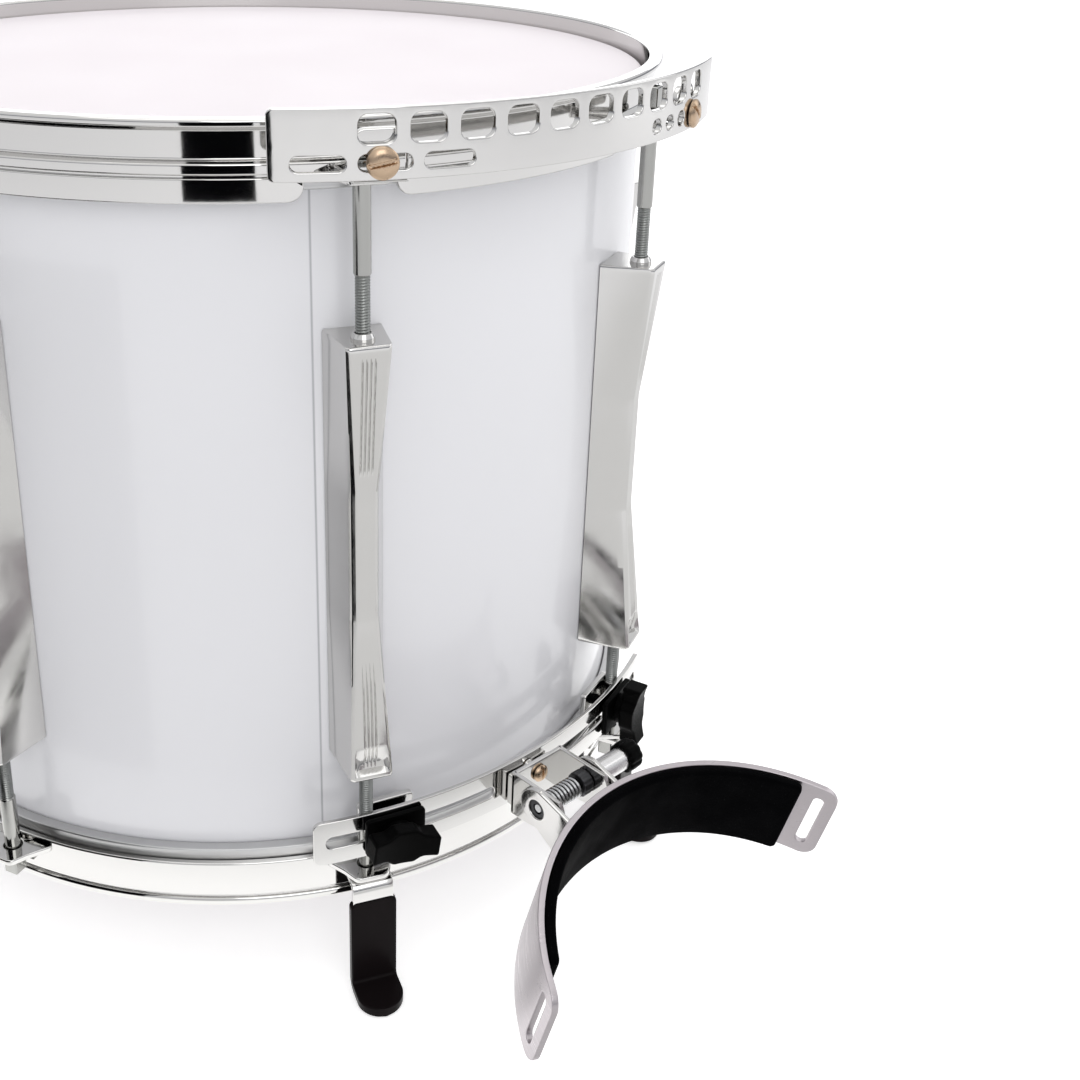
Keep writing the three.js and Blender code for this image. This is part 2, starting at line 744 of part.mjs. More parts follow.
// Rail brackets: a tab under the rod's flange and an upright against the back of the rail
const bracketTabBottom = topEarTop + clearance;
const screwHeight = railTop - slotDrop;
function railBracket(rodAngle, screwAngle) {
  const uprightOut = railInnerRadius - clearance;
  const uprightShape = roundedRectangle(
    2 * railBracketHalfWidth, railBracketRise - bracketTabBottom, railBracketThickness,
    0, (railBracketRise + bracketTabBottom) / 2,
  );
  const upright = outward(
    uprightShape, railBracketThickness, uprightOut + railArcOffset - railBracketThickness, cornerSteps,
  );
  const uprightPlaced = alongArc(upright, railArcOffset, screwAngle);
  const screwPlace = screwAngle * degree;
  const uprightX = uprightOut * Math.sin(screwPlace);
  const uprightY = -uprightOut * Math.cos(screwPlace) - railArcOffset;
  const rodX = rodRadius * Math.sin(rodAngle * degree);
  const rodY = -rodRadius * Math.cos(rodAngle * degree);
  const along = (side, x, y, turn, back) => [
    x + side * railBracketHalfWidth * Math.cos(turn) - back * Math.sin(turn),
    y + side * railBracketHalfWidth * Math.sin(turn) + back * Math.cos(turn),
  ];
  const rodTurn = rodAngle * degree;
  const tabBack = rodRadius - hoopEdge - clearance;
  const tab = upward(outlineShape([
    along(-1, uprightX, uprightY, screwPlace, railBracketThickness / 2),
    along(1, uprightX, uprightY, screwPlace, railBracketThickness / 2),
    along(1, rodX, rodY, rodTurn, tabBack),
    along(-1, rodX, rodY, rodTurn, tabBack),
  ]), railBracketThickness, bracketTabBottom);
  const rodHole = around(moved(
    cylinderUp(
      rodShankRadius + rodSideGap, 2 * railBracketThickness, bracketTabBottom - clearance, rodSides,
    ),
    0, -rodRadius, 0,
  ), rodAngle);
  const screwHole = alongArc(
    cylinderOut(railScrewRadius + rodSideGap, railCutDepth + railBracketThickness,
      railCutStart - railBracketThickness, screwHeight, rodSides),
    railArcOffset, screwAngle,
  );
  return uprightPlaced.add(tab).subtract(rodHole).subtract(screwHole);
}

const sideNames = ['left', 'right'];
sideNames.forEach((side, index) => {
  const solid = railBracket(railLugAngles[index], railScrewAngles[index]);
  addPiece(`rail_bracket_${side}`, solid, chrome());
});

// Rail screws: slotted round heads
const screwFace = railArcRadius + railArcOffset + clearance;
const screwHead = turned([
  [0, 0],
  [railScrewHeadRadius, 0],
  [railScrewHeadRadius, railScrewHeadHeight * screwHeadEdgeShare],
  [railScrewHeadRadius * screwHeadFlatShare, railScrewHeadHeight * screwHeadShoulderShare],
  [0, railScrewHeadHeight],
], roundSteps).rotate([90, 0, 0]).translate([0, -screwFace, screwHeight]);
const screwShaft = cylinderOut(
  railScrewRadius, railScrewLength + railScrewHeadHeight / 2, screwFace - railScrewLength, screwHeight,
  rodSides,
);
const driverSlot = box(
  screwSlotWidth, 2 * screwSlotDepth, 2 * railScrewHeadRadius + cutOverrun,
  0, -screwFace - railScrewHeadHeight, screwHeight,
);
const railScrew = screwHead.add(screwShaft).subtract(driverSlot);
sideNames.forEach((side, index) => {
  addPiece(`rail_screw_${side}`, alongArc(railScrew, railArcOffset, railScrewAngles[index]), brass());
});

// Lower rail
const lowerRailBottom = hoopBottom + lowerRailBottomRise;
const lowerRailMiddle = lowerRailBottom + lowerRailHeight / 2;
const lowerRailInner = lowerRailArcRadius - lowerRailThickness;
const rodFaceRadius = rodRadius + rodShankRadius + lowerRailRodGap;
const rodFaceAcross = rodFaceRadius * rodAcross;
const lowerRailArcOffset = rodFaceRadius * rodForward - Math.sqrt(lowerRailInner ** 2 - rodFaceAcross ** 2);
const lowerRodAngle = Math.asin(rodFaceAcross / lowerRailInner) / degree;
const clampAngle = lowerRodAngle - alongDegrees(clampBoltShift, lowerRailInner);
const lowerSlotStartAngle = clampAngle - alongDegrees(lowerSlotInnerReach, lowerRailInner);
const lowerSlotEndAngle = clampAngle + alongDegrees(lowerSlotOuterReach, lowerRailInner);
const lowerRailEndAngle = lowerSlotEndAngle + alongDegrees(lowerRailEndMargin, lowerRailInner);
const lowerCutStart = lowerRailInner + lowerRailArcOffset - cutOverrun;
const lowerCutDepth = lowerRailThickness + 2 * cutOverrun;
function lowerSlot(side) {
  const slotCutter = outward(
    obround(lowerSlotHeight + clearance, lowerSlotHeight), lowerCutDepth, lowerCutStart,
  ).translate([0, 0, lowerRailMiddle]);
  const trench = arcStrip(
    lowerRailArcRadius + cutOverrun, lowerCutDepth, lowerRailArcOffset,
    side * lowerSlotStartAngle, side * lowerSlotEndAngle,
    lowerRailMiddle - lowerSlotHeight / 2, lowerSlotHeight, roundSteps,
  );
  return joined([
    trench,
    alongArc(slotCutter, lowerRailArcOffset, side * lowerSlotStartAngle),
    alongArc(slotCutter, lowerRailArcOffset, side * lowerSlotEndAngle),
  ]);
}
const lowerStrip = arcStrip(
  lowerRailArcRadius, lowerRailThickness, lowerRailArcOffset,
  -lowerRailEndAngle, lowerRailEndAngle, lowerRailBottom, lowerRailHeight, lowerRailSteps,
);
const lowerCuts = [
  lowerSlot(1),
  lowerSlot(-1),
  ...[-1, 1].map((side) => alongArc(endCorners(
    side, lowerRailBottom, lowerRailHeight, lowerRailCornerRadius, lowerCutDepth, lowerCutStart,
  ), lowerRailArcOffset, side * lowerRailEndAngle)),
];
addPiece('lower_rail', lowerCuts.reduce((whole, cut) => whole.subtract(cut), lowerStrip), chrome());

// Clamps: black plate in front of the rail, back plate behind the rod, and a winged knob on a bolt
const clampFace = lowerRailArcRadius + lowerRailArcOffset;
const rodClearRadius = rodShankRadius + rodSideGap;
function clampPlate() {
  const start = clampFace + clearance;
  return outward(
    roundedRectangle(clampPlateWidth, clampPlateHeight, clampPlateCorner, 0, lowerRailMiddle),
    clampPlateThickness, start, cornerSteps,
  ).subtract(cylinderOut(
    clampBoltRadius + clearance, clampPlateThickness + 2 * cutOverrun, start - cutOverrun,
    lowerRailMiddle, rodSides,
  ));
}

const clampBackStart = lowerRailInner + lowerRailArcOffset - 2 * rodShankRadius - clampGripSlack;
function clampBack(side) {
  const back = outward(
    roundedRectangle(2 * clampBackHalfWidth, clampPlateHeight, rodSideGap, 0, lowerRailMiddle),
    clampBackThickness, clampBackStart - clampBackThickness, cornerSteps,
  ).subtract(cylinderOut(
    clampBoltRadius + clearance, 2 * clampBackThickness + cutOverrun,
    clampBackStart - 2 * clampBackThickness, lowerRailMiddle, rodSides,
  ));
  const groove = around(moved(
    cylinderUp(rodClearRadius, lowerRailHeight, lowerRailBottom, rodSides), 0, -rodRadius, 0,
  ), side * firstLugAngle);
  return alongArc(back, lowerRailArcOffset, side * clampAngle).subtract(groove);
}

function clampKnob(restTurn) {
  const start = clampFace + 2 * clearance + clampPlateThickness;
  const wings = new THREE.Shape();
  for (let step = 0; step < knobOutlineSteps; step += 1) {
    const turn = 2 * Math.PI * step / knobOutlineSteps;
    const swell = (1 + Math.cos(knobWings * turn)) / 2;
    const radius = knobWaistRadius + (knobRadius - knobWaistRadius) * swell;
    const x = radius * Math.cos(turn + restTurn * degree);
    const y = lowerRailMiddle + radius * Math.sin(turn + restTurn * degree);
    if (step === 0) wings.moveTo(x, y);
    else wings.lineTo(x, y);
  }
  return joined([
    cylinderOut(knobHubRadius, knobHubHeight + clearance, start, lowerRailMiddle),
    outward(wings, knobThickness, start + knobHubHeight),
    cylinderOut(
      clampBoltRadius, clampBoltLength, start + knobHubHeight - clampBoltLength, lowerRailMiddle, rodSides,
    ),
  ]);
}
const plateSolid = clampPlate();
sideNames.forEach((side, index) => {
  const sign = index === 0 ? -1 : 1;
  const angle = sign * clampAngle;
  addPiece(`clamp_plate_${side}`, alongArc(plateSolid, lowerRailArcOffset, angle), blackPlastic());
  addPiece(`clamp_back_${side}`, clampBack(sign), chrome());
  const knobSolid = clampKnob(knobRestTurns[index]);
  addPiece(`clamp_knob_${side}`, alongArc(knobSolid, lowerRailArcOffset, angle), blackPlastic());
});

// Feet: a strap from under the ear, bent down and then outwards to a round toe, with a dipped sleeve
const footTop = bottomEarBottom - clearance;
const footFace = hoopEdge + footReach;
const footBack = footFace - footThickness;
const footBottom = footTop - footDrop;
const toeTip = footFace + footToeLength;

function toePlan(grow) {
  const half = footWidth / 2 + grow;
  const shape = new THREE.Shape();
  shape.moveTo(half, -hoopEdge - clearance);
  shape.lineTo(-half, -hoopEdge - clearance);
  shape.lineTo(-half, -toeTip + footWidth / 2);
  shape.absarc(0, -toeTip + footWidth / 2, half, Math.PI, 2 * Math.PI, false);
  return shape;
}

// The upright and the toe, grown all round, up to the height given
function footLimb(grow, top) {
  const half = footWidth / 2 + grow;
  const profile = sideways(outlineShape([
    [footFace + grow, top],
    [footBack - grow, top],
    [footBack - grow, footBottom + footThickness - grow],
    [footFace, footBottom - grow],
    [toeTip + grow, footBottom - grow],
    [toeTip + grow, footBottom + footThickness + grow],
    [footFace + footThickness, footBottom + footThickness + grow],
    [footFace + grow, footBottom + 2 * footThickness],
  ]), -half, half);
  const plan = upward(toePlan(grow), top - footBottom + 2 * cutOverrun, footBottom - cutOverrun);
  return profile.intersect(plan);
}

const footFlange = sideways(outlineShape([
  [hoopEdge + clearance, footTop],
  [hoopEdge + clearance, footTop - footThickness],
  [footFace, footTop - footThickness],
  [footFace, footTop],
]), -footWidth / 2, footWidth / 2);
const footRodHole = moved(
  cylinderUp(rodShankRadius + rodSideGap, 3 * footThickness, footTop - 2 * footThickness, rodSides),
  0, -rodRadius, 0,
);
const footStrap = footFlange.add(footLimb(0, footTop)).subtract(footRodHole);
const sleeveTop = footTop - sleeveTopDrop;
const footSleeve = footLimb(sleeveWall, sleeveTop).subtract(footLimb(clearance, sleeveTop + cutOverrun));
sideNames.forEach((side, index) => {
  addPiece(`foot_strap_${side}`, around(footStrap, railLugAngles[index]), chrome());
  addPiece(`foot_sleeve_${side}`, around(footSleeve, railLugAngles[index]), blackVinyl());
});

// Leg rest, fixed bracket: a block on the lower rail with two walls that carry the axle
const axleHeight = hoopBottom + axleRise;
const bracketTop = hoopBottom + bracketTopRise;
const bracketBottom = bracketTop - bracketHeight;
const bracketBack = clampFace + clearance;
const bracketBase = clampFace + bracketStandoff;
const axleOut = clampFace + axleStandoff;
function noseShape() {
  const shape = new THREE.Shape();
  const topOut = axleOut + Math.sqrt(bracketNoseRadius ** 2 - (bracketTop - axleHeight) ** 2);
  const startTurn = Math.asin((bracketTop - axleHeight) / bracketNoseRadius);
  shape.moveTo(bracketBase, bracketBottom);
  shape.lineTo(bracketBase, bracketTop);
  shape.lineTo(topOut, bracketTop);
  shape.absarc(axleOut, axleHeight, bracketNoseRadius, startTurn, bracketNoseEndAngle * degree, true);
  shape.lineTo(axleOut - bracketLowerHeight, bracketBottom);
  return shape;
}
const bracketBlock = roundedRectangle(
  2 * bracketHalfWidth, bracketHeight, clearance, 0, (bracketTop + bracketBottom) / 2,
);
const bracketScrewLevel = hoopBottom + bracketScrewRise;
const fixedBracket = joined([
  outward(bracketBlock, bracketStandoff + bracketWall - clearance, bracketBack),
  sideways(noseShape(), -bracketHalfWidth, -bracketHalfWidth + bracketWall),
  sideways(noseShape(), bracketHalfWidth - bracketWall, bracketHalfWidth),
])
  .subtract(cylinderAcross(
    axleRadius + clearance, -2 * bracketHalfWidth, 2 * bracketHalfWidth, axleOut, axleHeight,
  ))
  .subtract(cylinderOut(
    clampBoltRadius, bracketStandoff + bracketWall + 2 * cutOverrun, bracketBack - cutOverrun,
    bracketScrewLevel,
  ));
addPiece('leg_rest_mount', fixedBracket, chrome());

// Bracket screw, through the block into the lower rail
const bracketScrewFace = bracketBase + bracketWall + clearance;
const bracketScrewReach = bracketScrewFace - lowerRailInner - lowerRailArcOffset;
const bracketScrew = joined([
  turned([
    [0, 0],
    [bracketScrewRadius, 0],
    [bracketScrewRadius, bracketScrewHeight / 2],
    [bracketScrewRadius / 2, bracketScrewHeight],
    [0, bracketScrewHeight],
  ], roundSteps).rotate([90, 0, 0]).translate([0, -bracketScrewFace, bracketScrewLevel]),
  cylinderOut(
    clampBoltRadius - clearance,
    bracketScrewReach + bracketScrewHeight / 2 - lowerRailThickness - 2 * clearance,
    bracketScrewFace - bracketScrewReach + lowerRailThickness + 2 * clearance,
    bracketScrewLevel, rodSides,
  ),
]);
addPiece('leg_rest_mount_screw', bracketScrew, brass());

// Axle bolt
const swingInner = bracketHalfWidth + swingEarGap;
const swingOuter = swingInner + swingWall;
const axleLeft = -swingOuter - 2 * clearance;
const axleRight = axleLeft + axleLength;
addPiece('leg_rest_axle', joined([
  cylinderAcross(axleRadius, axleLeft, axleRight, axleOut, axleHeight),
  cylinderAcross(axleHeadRadius, axleLeft - clearance, axleLeft + swingWall / 2, axleOut, axleHeight),
]), steel());

// Axle spring: one tube that winds springCurls times about the axle
const springLeft = -bracketHalfWidth + bracketWall + springWireRadius + clearance;
const bushingLeft = bracketHalfWidth - bracketWall - clearance - bushingLength;
const springRight = bushingLeft - springWireRadius - clearance;
function springPoint(turns) {
  const turn = turns * 2 * Math.PI;
  const x = springLeft + (springRight - springLeft) * turns / springCurls;
  const y = -axleOut + springRadius * Math.cos(turn);
  return new THREE.Vector3(x, y, axleHeight + springRadius * Math.sin(turn));
}
function springTube() {
  const rings = [];
  const total = springCurls * springCurlSteps;
  const axis = new THREE.Vector3(1, 0, 0);
  const centre = new THREE.Vector3(0, -axleOut, axleHeight);
  for (let step = 0; step <= total; step += 1) {
    const place = springPoint(step / springCurlSteps);
    const away = place.clone().sub(centre).setX(0).normalize();
    const ringPoints = [];
    for (let side = 0; side < springSides; side += 1) {
      const turn = -2 * Math.PI * side / springSides;
      const point = place.clone()
        .addScaledVector(away, springWireRadius * Math.cos(turn))
        .addScaledVector(axis, springWireRadius * Math.sin(turn));
      ringPoints.push(point.toArray());
    }
    rings.push(ringPoints);
  }
  return loft(rings);
}
function springSelfGap() {
  const total = springCurls * springCurlSteps;
  const places = Array.from({ length: total + 1 }, (_, step) => springPoint(step / springCurlSteps));
  let least = Infinity;
  places.forEach((place, index) => {
    for (let other = index + springCurlSteps / 2; other < places.length; other += 1) {
      least = Math.min(least, place.distanceTo(places[other]) - 2 * springWireRadius);
    }
  });
  return least;
}
console.log(`axle spring, least gap to itself: ${springSelfGap().toFixed(2)} mm`);
addPiece('leg_rest_spring', springTube(), steel());

// Bushing beside the spring
addPiece('leg_rest_bushing', cylinderAcross(
  bushingRadius, bushingLeft, bushingLeft + bushingLength, axleOut, axleHeight,
).subtract(cylinderAcross(
  axleRadius + clearance, bushingLeft - cutOverrun, bushingLeft + bushingLength + cutOverrun,
  axleOut, axleHeight,
)), blackPlastic());

// Leg rest, swinging parts: drawn about the axle with the plate upright, then tilted by restTilt
function tilted(solid) {
  const aboutAxle = solid.translate([0, axleOut, -axleHeight]).rotate([restTilt, 0, 0]);
  return aboutAxle.translate([0, -axleOut, axleHeight]);
}
const webInner = axleOut + swingWebDistance;
const webOuter = webInner + swingWall;
const webBottom = axleHeight - swingWebDrop;
const webTop = webBottom + swingWebHeight;
function swingEarShape() {
  const shape = new THREE.Shape();
  shape.moveTo(webOuter, webTop);
  shape.lineTo(axleOut, axleHeight + swingEarRadius);
  shape.absarc(axleOut, axleHeight, swingEarRadius, Math.PI / 2, Math.PI * 5 / 4, false);
  shape.lineTo(webInner, webBottom);
  shape.lineTo(webOuter, webBottom);
  return shape;
}
const swingBracket = joined([
  sideways(swingEarShape(), -swingOuter, -swingInner),
  sideways(swingEarShape(), swingInner, swingOuter),
  outward(outlineShape([
    [-swingOuter, webBottom],
    [swingOuter, webBottom],
    [swingOuter, webTop],
    [-swingOuter, webTop],
  ]), swingWall, webInner),
])
  .subtract(cylinderAcross(swingEarHole, -2 * swingOuter, 0, axleOut, axleHeight))
  .subtract(cylinderAcross(axleRadius + clearance, 0, 2 * swingOuter, axleOut, axleHeight));
addPiece('leg_rest_bracket', tilted(swingBracket), chrome());

// Leg rest plate: an arc of flat bar with a strap slot at each end
const restBack = webOuter + clearance;
const restMiddle = axleHeight + restCentreRise;
function restArc(radius, thickness, halfAngle, width, middle) {
  const points = [];
  for (let step = 0; step <= restSteps; step += 1) {
    const turn = (-halfAngle + 2 * halfAngle * step / restSteps) * degree;
    points.push([radius * Math.sin(turn), -restBack - restRadius + radius * Math.cos(turn)]);
  }
  const inner = points.map(([x, y]) => {
    const scale = (radius - thickness) / radius;
    return [x * scale, (y + restBack + restRadius) * scale - restBack - restRadius];
  });
  return upward(outlineShape([...points, ...inner.reverse()]), width, middle - width / 2);
}
const restCutDepth = restThickness + 2 * cutOverrun;
const restCutStart = -restRadius - cutOverrun;
function alongRest(solid, angle) {
  return solid.rotate([0, 0, -angle]).translate([0, -restBack - restRadius, 0]);
}
function restSlot(side) {
  const corner = restSlotWidth / 2 - clearance;
  const slot = roundedRectangle(restSlotWidth, restSlotHeight, corner, 0, restMiddle);
  return alongRest(outward(slot, restCutDepth, restCutStart), side * restSlotAngle);
}
function restCorners(side) {
  return alongRest(endCorners(
    side, restMiddle - restWidth / 2, restWidth, restCornerRadius, restCutDepth, restCutStart,
  ), side * restHalfAngle);
}
const restCuts = [restSlot(-1), restSlot(1), restCorners(-1), restCorners(1)];
const restPlate = restCuts.reduce(
  (whole, cut) => whole.subtract(cut),
  restArc(restRadius, restThickness, restHalfAngle, restWidth, restMiddle),
);
addPiece('leg_rest_plate', tilted(restPlate), satinAluminium());

// Leg rest pad, inside the plate
const padOuter = restRadius - restThickness - clearance;
const restPad = restArc(padOuter, padThickness, padHalfAngle, restWidth, restMiddle);
addPiece('leg_rest_pad', tilted(restPad), padRubber());

// Leg rest knob: a pale collar and a fluted black grip on the end of the axle
const knobBore = axleRadius + clearance;
const collarLeft = swingOuter + clearance;
const gripLeft = collarLeft + legKnobCollarLength;
const gripRight = gripLeft + legKnobLength;
function fluteShape() {
  const shape = new THREE.Shape();
  const steps = legKnobFlutes * legKnobFluteSteps;
  for (let step = 0; step < steps; step += 1) {
    const turn = 2 * Math.PI * step / steps;
    const radius = legKnobRadius - legKnobFluteDepth * (1 - Math.cos(legKnobFlutes * turn)) / 2;
    const out = axleOut + radius * Math.cos(turn);
    const height = axleHeight + radius * Math.sin(turn);
    if (step === 0) shape.moveTo(out, height);
    else shape.lineTo(out, height);
  }
  return shape;
}
addPiece('leg_rest_knob', joined([
  cylinderAcross(legKnobCollarRadius, collarLeft, gripLeft + clearance, axleOut, axleHeight),
  sideways(fluteShape(), gripLeft, gripRight),
]).subtract(cylinderAcross(
  knobBore, collarLeft - cutOverrun, axleRight + clearance, axleOut, axleHeight,
)), blackPlastic());

// Snare strainer on the +X side: body with the lever's pin, lever, and tension knob with its screw
const strainerBack = shellRadius + clearance;
const bodyBottom = hoopBottom + strainerRise;
const bodyTop = bodyBottom + strainerHeight;
const bodyOuter = strainerBack + strainerDepth;
const tensionOut = strainerBack + clearance + tensionKnobRadius;
const leverPivotHeight = hoopBottom + leverPivotRise;
const leverInner = bodyOuter + leverPivotGap;
const leverOuter = leverInner + leverThickness;
const leverPin = cylinderOut(
  rodThreadRadius, leverOuter - bodyOuter + clearance, bodyOuter - clearance, leverPivotHeight, rodSides,
);
const tensionHole = moved(
  cylinderUp(
    tensionScrewRadius + clearance, tensionScrewLength + cutOverrun, bodyTop - tensionScrewLength, rodSides,
  ),
  0, -tensionOut, 0,
);
const strainerBody = outward(
  roundedRectangle(strainerWidth, strainerHeight, strainerCorner, 0, (bodyBottom + bodyTop) / 2),
  strainerDepth, strainerBack, cornerSteps,
).add(leverPin).subtract(tensionHole);
addPiece('strainer_body', around(strainerBody, strainerAngle), chrome());

const leverShape = roundedRectangle(
  leverWidth, leverLength, leverCorner, 0, leverPivotHeight - leverLength / 2 + leverWidth / 2,
);
const lever = outward(leverShape, leverThickness, leverInner, cornerSteps).subtract(
  cylinderOut(
    rodThreadRadius + clearance, 2 * leverThickness, leverInner - cutOverrun, leverPivotHeight, rodSides,
  ),
);
addPiece('strainer_lever', around(lever, strainerAngle), chrome());

const tensionKnob = turned([
  [0, bodyTop - tensionScrewLength + clearance],
  [tensionScrewRadius, bodyTop - tensionScrewLength + clearance],
  [tensionScrewRadius, bodyTop + clearance],
  [tensionKnobRadius, bodyTop + clearance],
  [tensionKnobRadius, bodyTop + clearance + tensionKnobHeight],
  [0, bodyTop + clearance + tensionKnobHeight],
], roundSteps);
addPiece('strainer_knob', around(moved(tensionKnob, 0, -tensionOut, 0), strainerAngle), steel());

// Butt plate on the -X side
const buttBottom = hoopBottom + buttRise;
addPiece('butt_plate', around(outward(
  roundedRectangle(buttWidth, buttHeight, buttCorner, 0, buttBottom + buttHeight / 2),
  buttDepth, shellRadius + clearance, cornerSteps,
), buttAngle), chrome());

// Snares: strands from side to side under the snare head, soldered into a strip at each end
const snareHalf = shellRadius * snareReachShare;
const snareHeight = snareHeadFace - clearance - snareRadius;
const strands = Array.from({ length: snareCount }, (_, index) => {
  const place = (index - (snareCount - 1) / 2) * snarePitch;
  const length = 2 * snareHalf - snareEndWidth;
  const strand = new THREE.CylinderGeometry(snareRadius, snareRadius, length, springSides + 1);
  return toSolid(strand.rotateZ(Math.PI / 2).translate(0, place, snareHeight));
});
const endStrips = [-1, 1].map((side) => box(
  snareEndWidth, snareCount * snarePitch, snareEndThickness,
  side * (snareHalf - snareEndWidth / 2), 0, snareHeight - snareEndThickness / 2 + snareRadius,
));
addPiece('snares', joined([...endStrips, ...strands]), steel());

export default drum;
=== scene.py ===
"""Marching snare drum, dressed for a picture: each operator builds one group of pieces in its place on the
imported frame. All working sizes are millimetres and become metres when a mesh is made. +Z is up, and the
player's side, with the carrying rail and the leg rest, faces -Y."""

import math

import bmesh
import bpy
import numpy as np
from mathutils import Matrix, Vector
from mathutils.geometry import delaunay_2d_cdt


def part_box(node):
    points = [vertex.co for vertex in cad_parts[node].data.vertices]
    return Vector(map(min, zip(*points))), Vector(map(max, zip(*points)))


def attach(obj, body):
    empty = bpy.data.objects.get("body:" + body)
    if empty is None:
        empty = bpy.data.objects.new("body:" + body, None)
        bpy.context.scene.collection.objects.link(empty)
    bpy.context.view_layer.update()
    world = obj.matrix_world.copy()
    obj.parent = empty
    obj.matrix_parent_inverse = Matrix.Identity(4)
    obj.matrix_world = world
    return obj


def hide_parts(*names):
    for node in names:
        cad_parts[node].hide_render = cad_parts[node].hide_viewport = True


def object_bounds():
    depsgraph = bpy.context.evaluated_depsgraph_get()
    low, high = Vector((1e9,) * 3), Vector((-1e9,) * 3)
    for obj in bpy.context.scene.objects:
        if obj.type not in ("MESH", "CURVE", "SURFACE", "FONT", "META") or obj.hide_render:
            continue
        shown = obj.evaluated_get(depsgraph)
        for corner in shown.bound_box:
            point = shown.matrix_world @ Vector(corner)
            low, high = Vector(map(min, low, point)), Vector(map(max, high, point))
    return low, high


bl_info = {
    "name": "Marching Snare Drum",
    "version": (1, 0, 0),
    "blender": (4, 5, 0),
    "location": "View3D > Sidebar > Snare Drum",
    "description": "Builds a marching snare drum with its carrying rail, feet and sprung leg rest",
    "category": "Add Mesh",
}

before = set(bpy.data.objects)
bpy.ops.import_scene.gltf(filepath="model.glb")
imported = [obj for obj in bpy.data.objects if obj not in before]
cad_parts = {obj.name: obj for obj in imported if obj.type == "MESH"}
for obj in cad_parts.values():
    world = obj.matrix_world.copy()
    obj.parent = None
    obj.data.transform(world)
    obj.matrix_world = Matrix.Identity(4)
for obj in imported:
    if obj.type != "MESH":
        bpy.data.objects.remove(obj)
CAD_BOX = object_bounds()
MM = 0.001
TURN = 2 * math.pi


# Levels and radii of the frame's solids, in millimetres


def reach_of(node):
    """Lowest and highest corner of a solid, in millimetres."""
    low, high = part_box(node)
    return np.array(low) / MM, np.array(high) / MM


SHELL_LOW, SHELL_HIGH = reach_of("shell")
SHELL_RADIUS = float(SHELL_HIGH[0])
SHELL_TOP = float(SHELL_HIGH[2])
SHELL_BOTTOM = float(SHELL_LOW[2])
SHELL_WALL = 6.5
BEARING_EDGE = 3.0
GAP = 0.3  # clear space between pieces that lie on one another
HOOP_INNER = SHELL_RADIUS + 2.4
HOOP_OUTER = HOOP_INNER + 3.8
HOOP_EDGE = HOOP_OUTER + 2.2
SKIRT_INNER = HOOP_EDGE - 2.7
GROOVE_RADIUS = HOOP_EDGE - 1.4
SECTION_STEPS = 6  # points on each round of a hoop's section
TOP_RIM = 7.3
BOTTOM_RIM = float(reach_of("bottom_hoop")[0][2])
SNARE_FACE = BOTTOM_RIM + 9.4
ROD_RADIUS = SHELL_RADIUS + 13.6
ROD_THREAD = 2.8
ROD_SHANK = 3.2
ROD_HOLE = ROD_SHANK + 0.5
THREAD_LENGTH = 37.5
LUG_STEP = 45
FIRST_LUG = LUG_STEP / 2
LUG_ANGLES = [FIRST_LUG + LUG_STEP * index for index in range(8)]
LUG_LENGTH = 179.5
LUG_BOTTOM = BOTTOM_RIM + 67.3
LUG_TOP = LUG_BOTTOM + LUG_LENGTH
EAR_TOP = TOP_RIM - 17.5
EAR_THICKNESS = 2.5
EAR_REACH = 14.6
EAR_HALF_WIDTH = 15
LOWER_EAR_TOP = BOTTOM_RIM + 20
STRAP_THICKNESS = 2.5
STRAP_WIDTH = 17.0
SLEEVE_THICKNESS = 4.1
SLEEVE_HALF_WIDTH = 9.6
FOOT_DROP = 52
RAIL_RADIUS = 180.3
RAIL_OFFSET = 35.5
RAIL_THICKNESS = 2.5
RAIL_LEVELS = (-8.4, 15.0)
HOOK_HOLE = (12.4, 9.6, 3.4)  # width, height and corner radius
HOOK_HOLE_LEVEL = 8.1
HOOK_HOLE_COUNT = 10
RAIL_SLOT_HEIGHT, RAIL_SLOT_ROUND = 5.3, 2.64
WIDE_SLOT, SHORT_SLOT = 17.8, 6.4
RAIL_SPAN = (-38.197, 29.996)
RAIL_SCREWS = (-26.596, 20.996)
RAIL_SCREW_LEVEL = -2.6
SCREW_HOLE = 2.8
LOWER_RAIL_RADIUS = 221.0
LOWER_RAIL_OFFSET = -25.801
LOWER_RAIL_THICKNESS = 2.0
LOWER_RAIL_HALF_HEIGHT = 10.2
LOWER_RAIL_SLOT, LOWER_RAIL_SLOT_ROUND = 5.6, 2.79
LOWER_RAIL_END = 25.986  # angles in degrees: the rail's end and the middles of a slot's rounds
LOWER_SLOT_INNER, LOWER_SLOT_OUTER = 5.605, 23.893
LOWER_RAIL_MIDDLE = BOTTOM_RIM + 37.6
CLAMP_FACE = LOWER_RAIL_RADIUS + LOWER_RAIL_OFFSET
CLAMP_ANGLE = 17.3
CLAMP_HEIGHT = 17.0
CLAMP_FRONT_THICKNESS, CLAMP_BACK_THICKNESS = 2.4, 3.0
YOKE_OUT = CLAMP_FACE + 5.0
YOKE_HALF_WIDTH = 14.5
YOKE_HEIGHT = 20.6
YOKE_WALL = 2.0
NOSE_RADIUS = 12.4
YOKE_SCREW_LEVEL = BOTTOM_RIM + 42.5
AXLE_OUT = CLAMP_FACE + 22.1
AXLE_LEVEL = BOTTOM_RIM + 41.1
AXLE_HOLE = 2.9
SPRING_RADIUS, SPRING_WIRE = 4.0, 0.68
BUSH_LENGTH = 5.2
BUSH_RADIUS = 5.4
BUSH_START = YOKE_HALF_WIDTH - YOKE_WALL - GAP - BUSH_LENGTH
CRADLE_INNER = 14.9
CRADLE_WALL = 2.3
CRADLE_OUTER = CRADLE_INNER + CRADLE_WALL
REST_TILT = 15.5
WEB_OUT = AXLE_OUT + 14.6
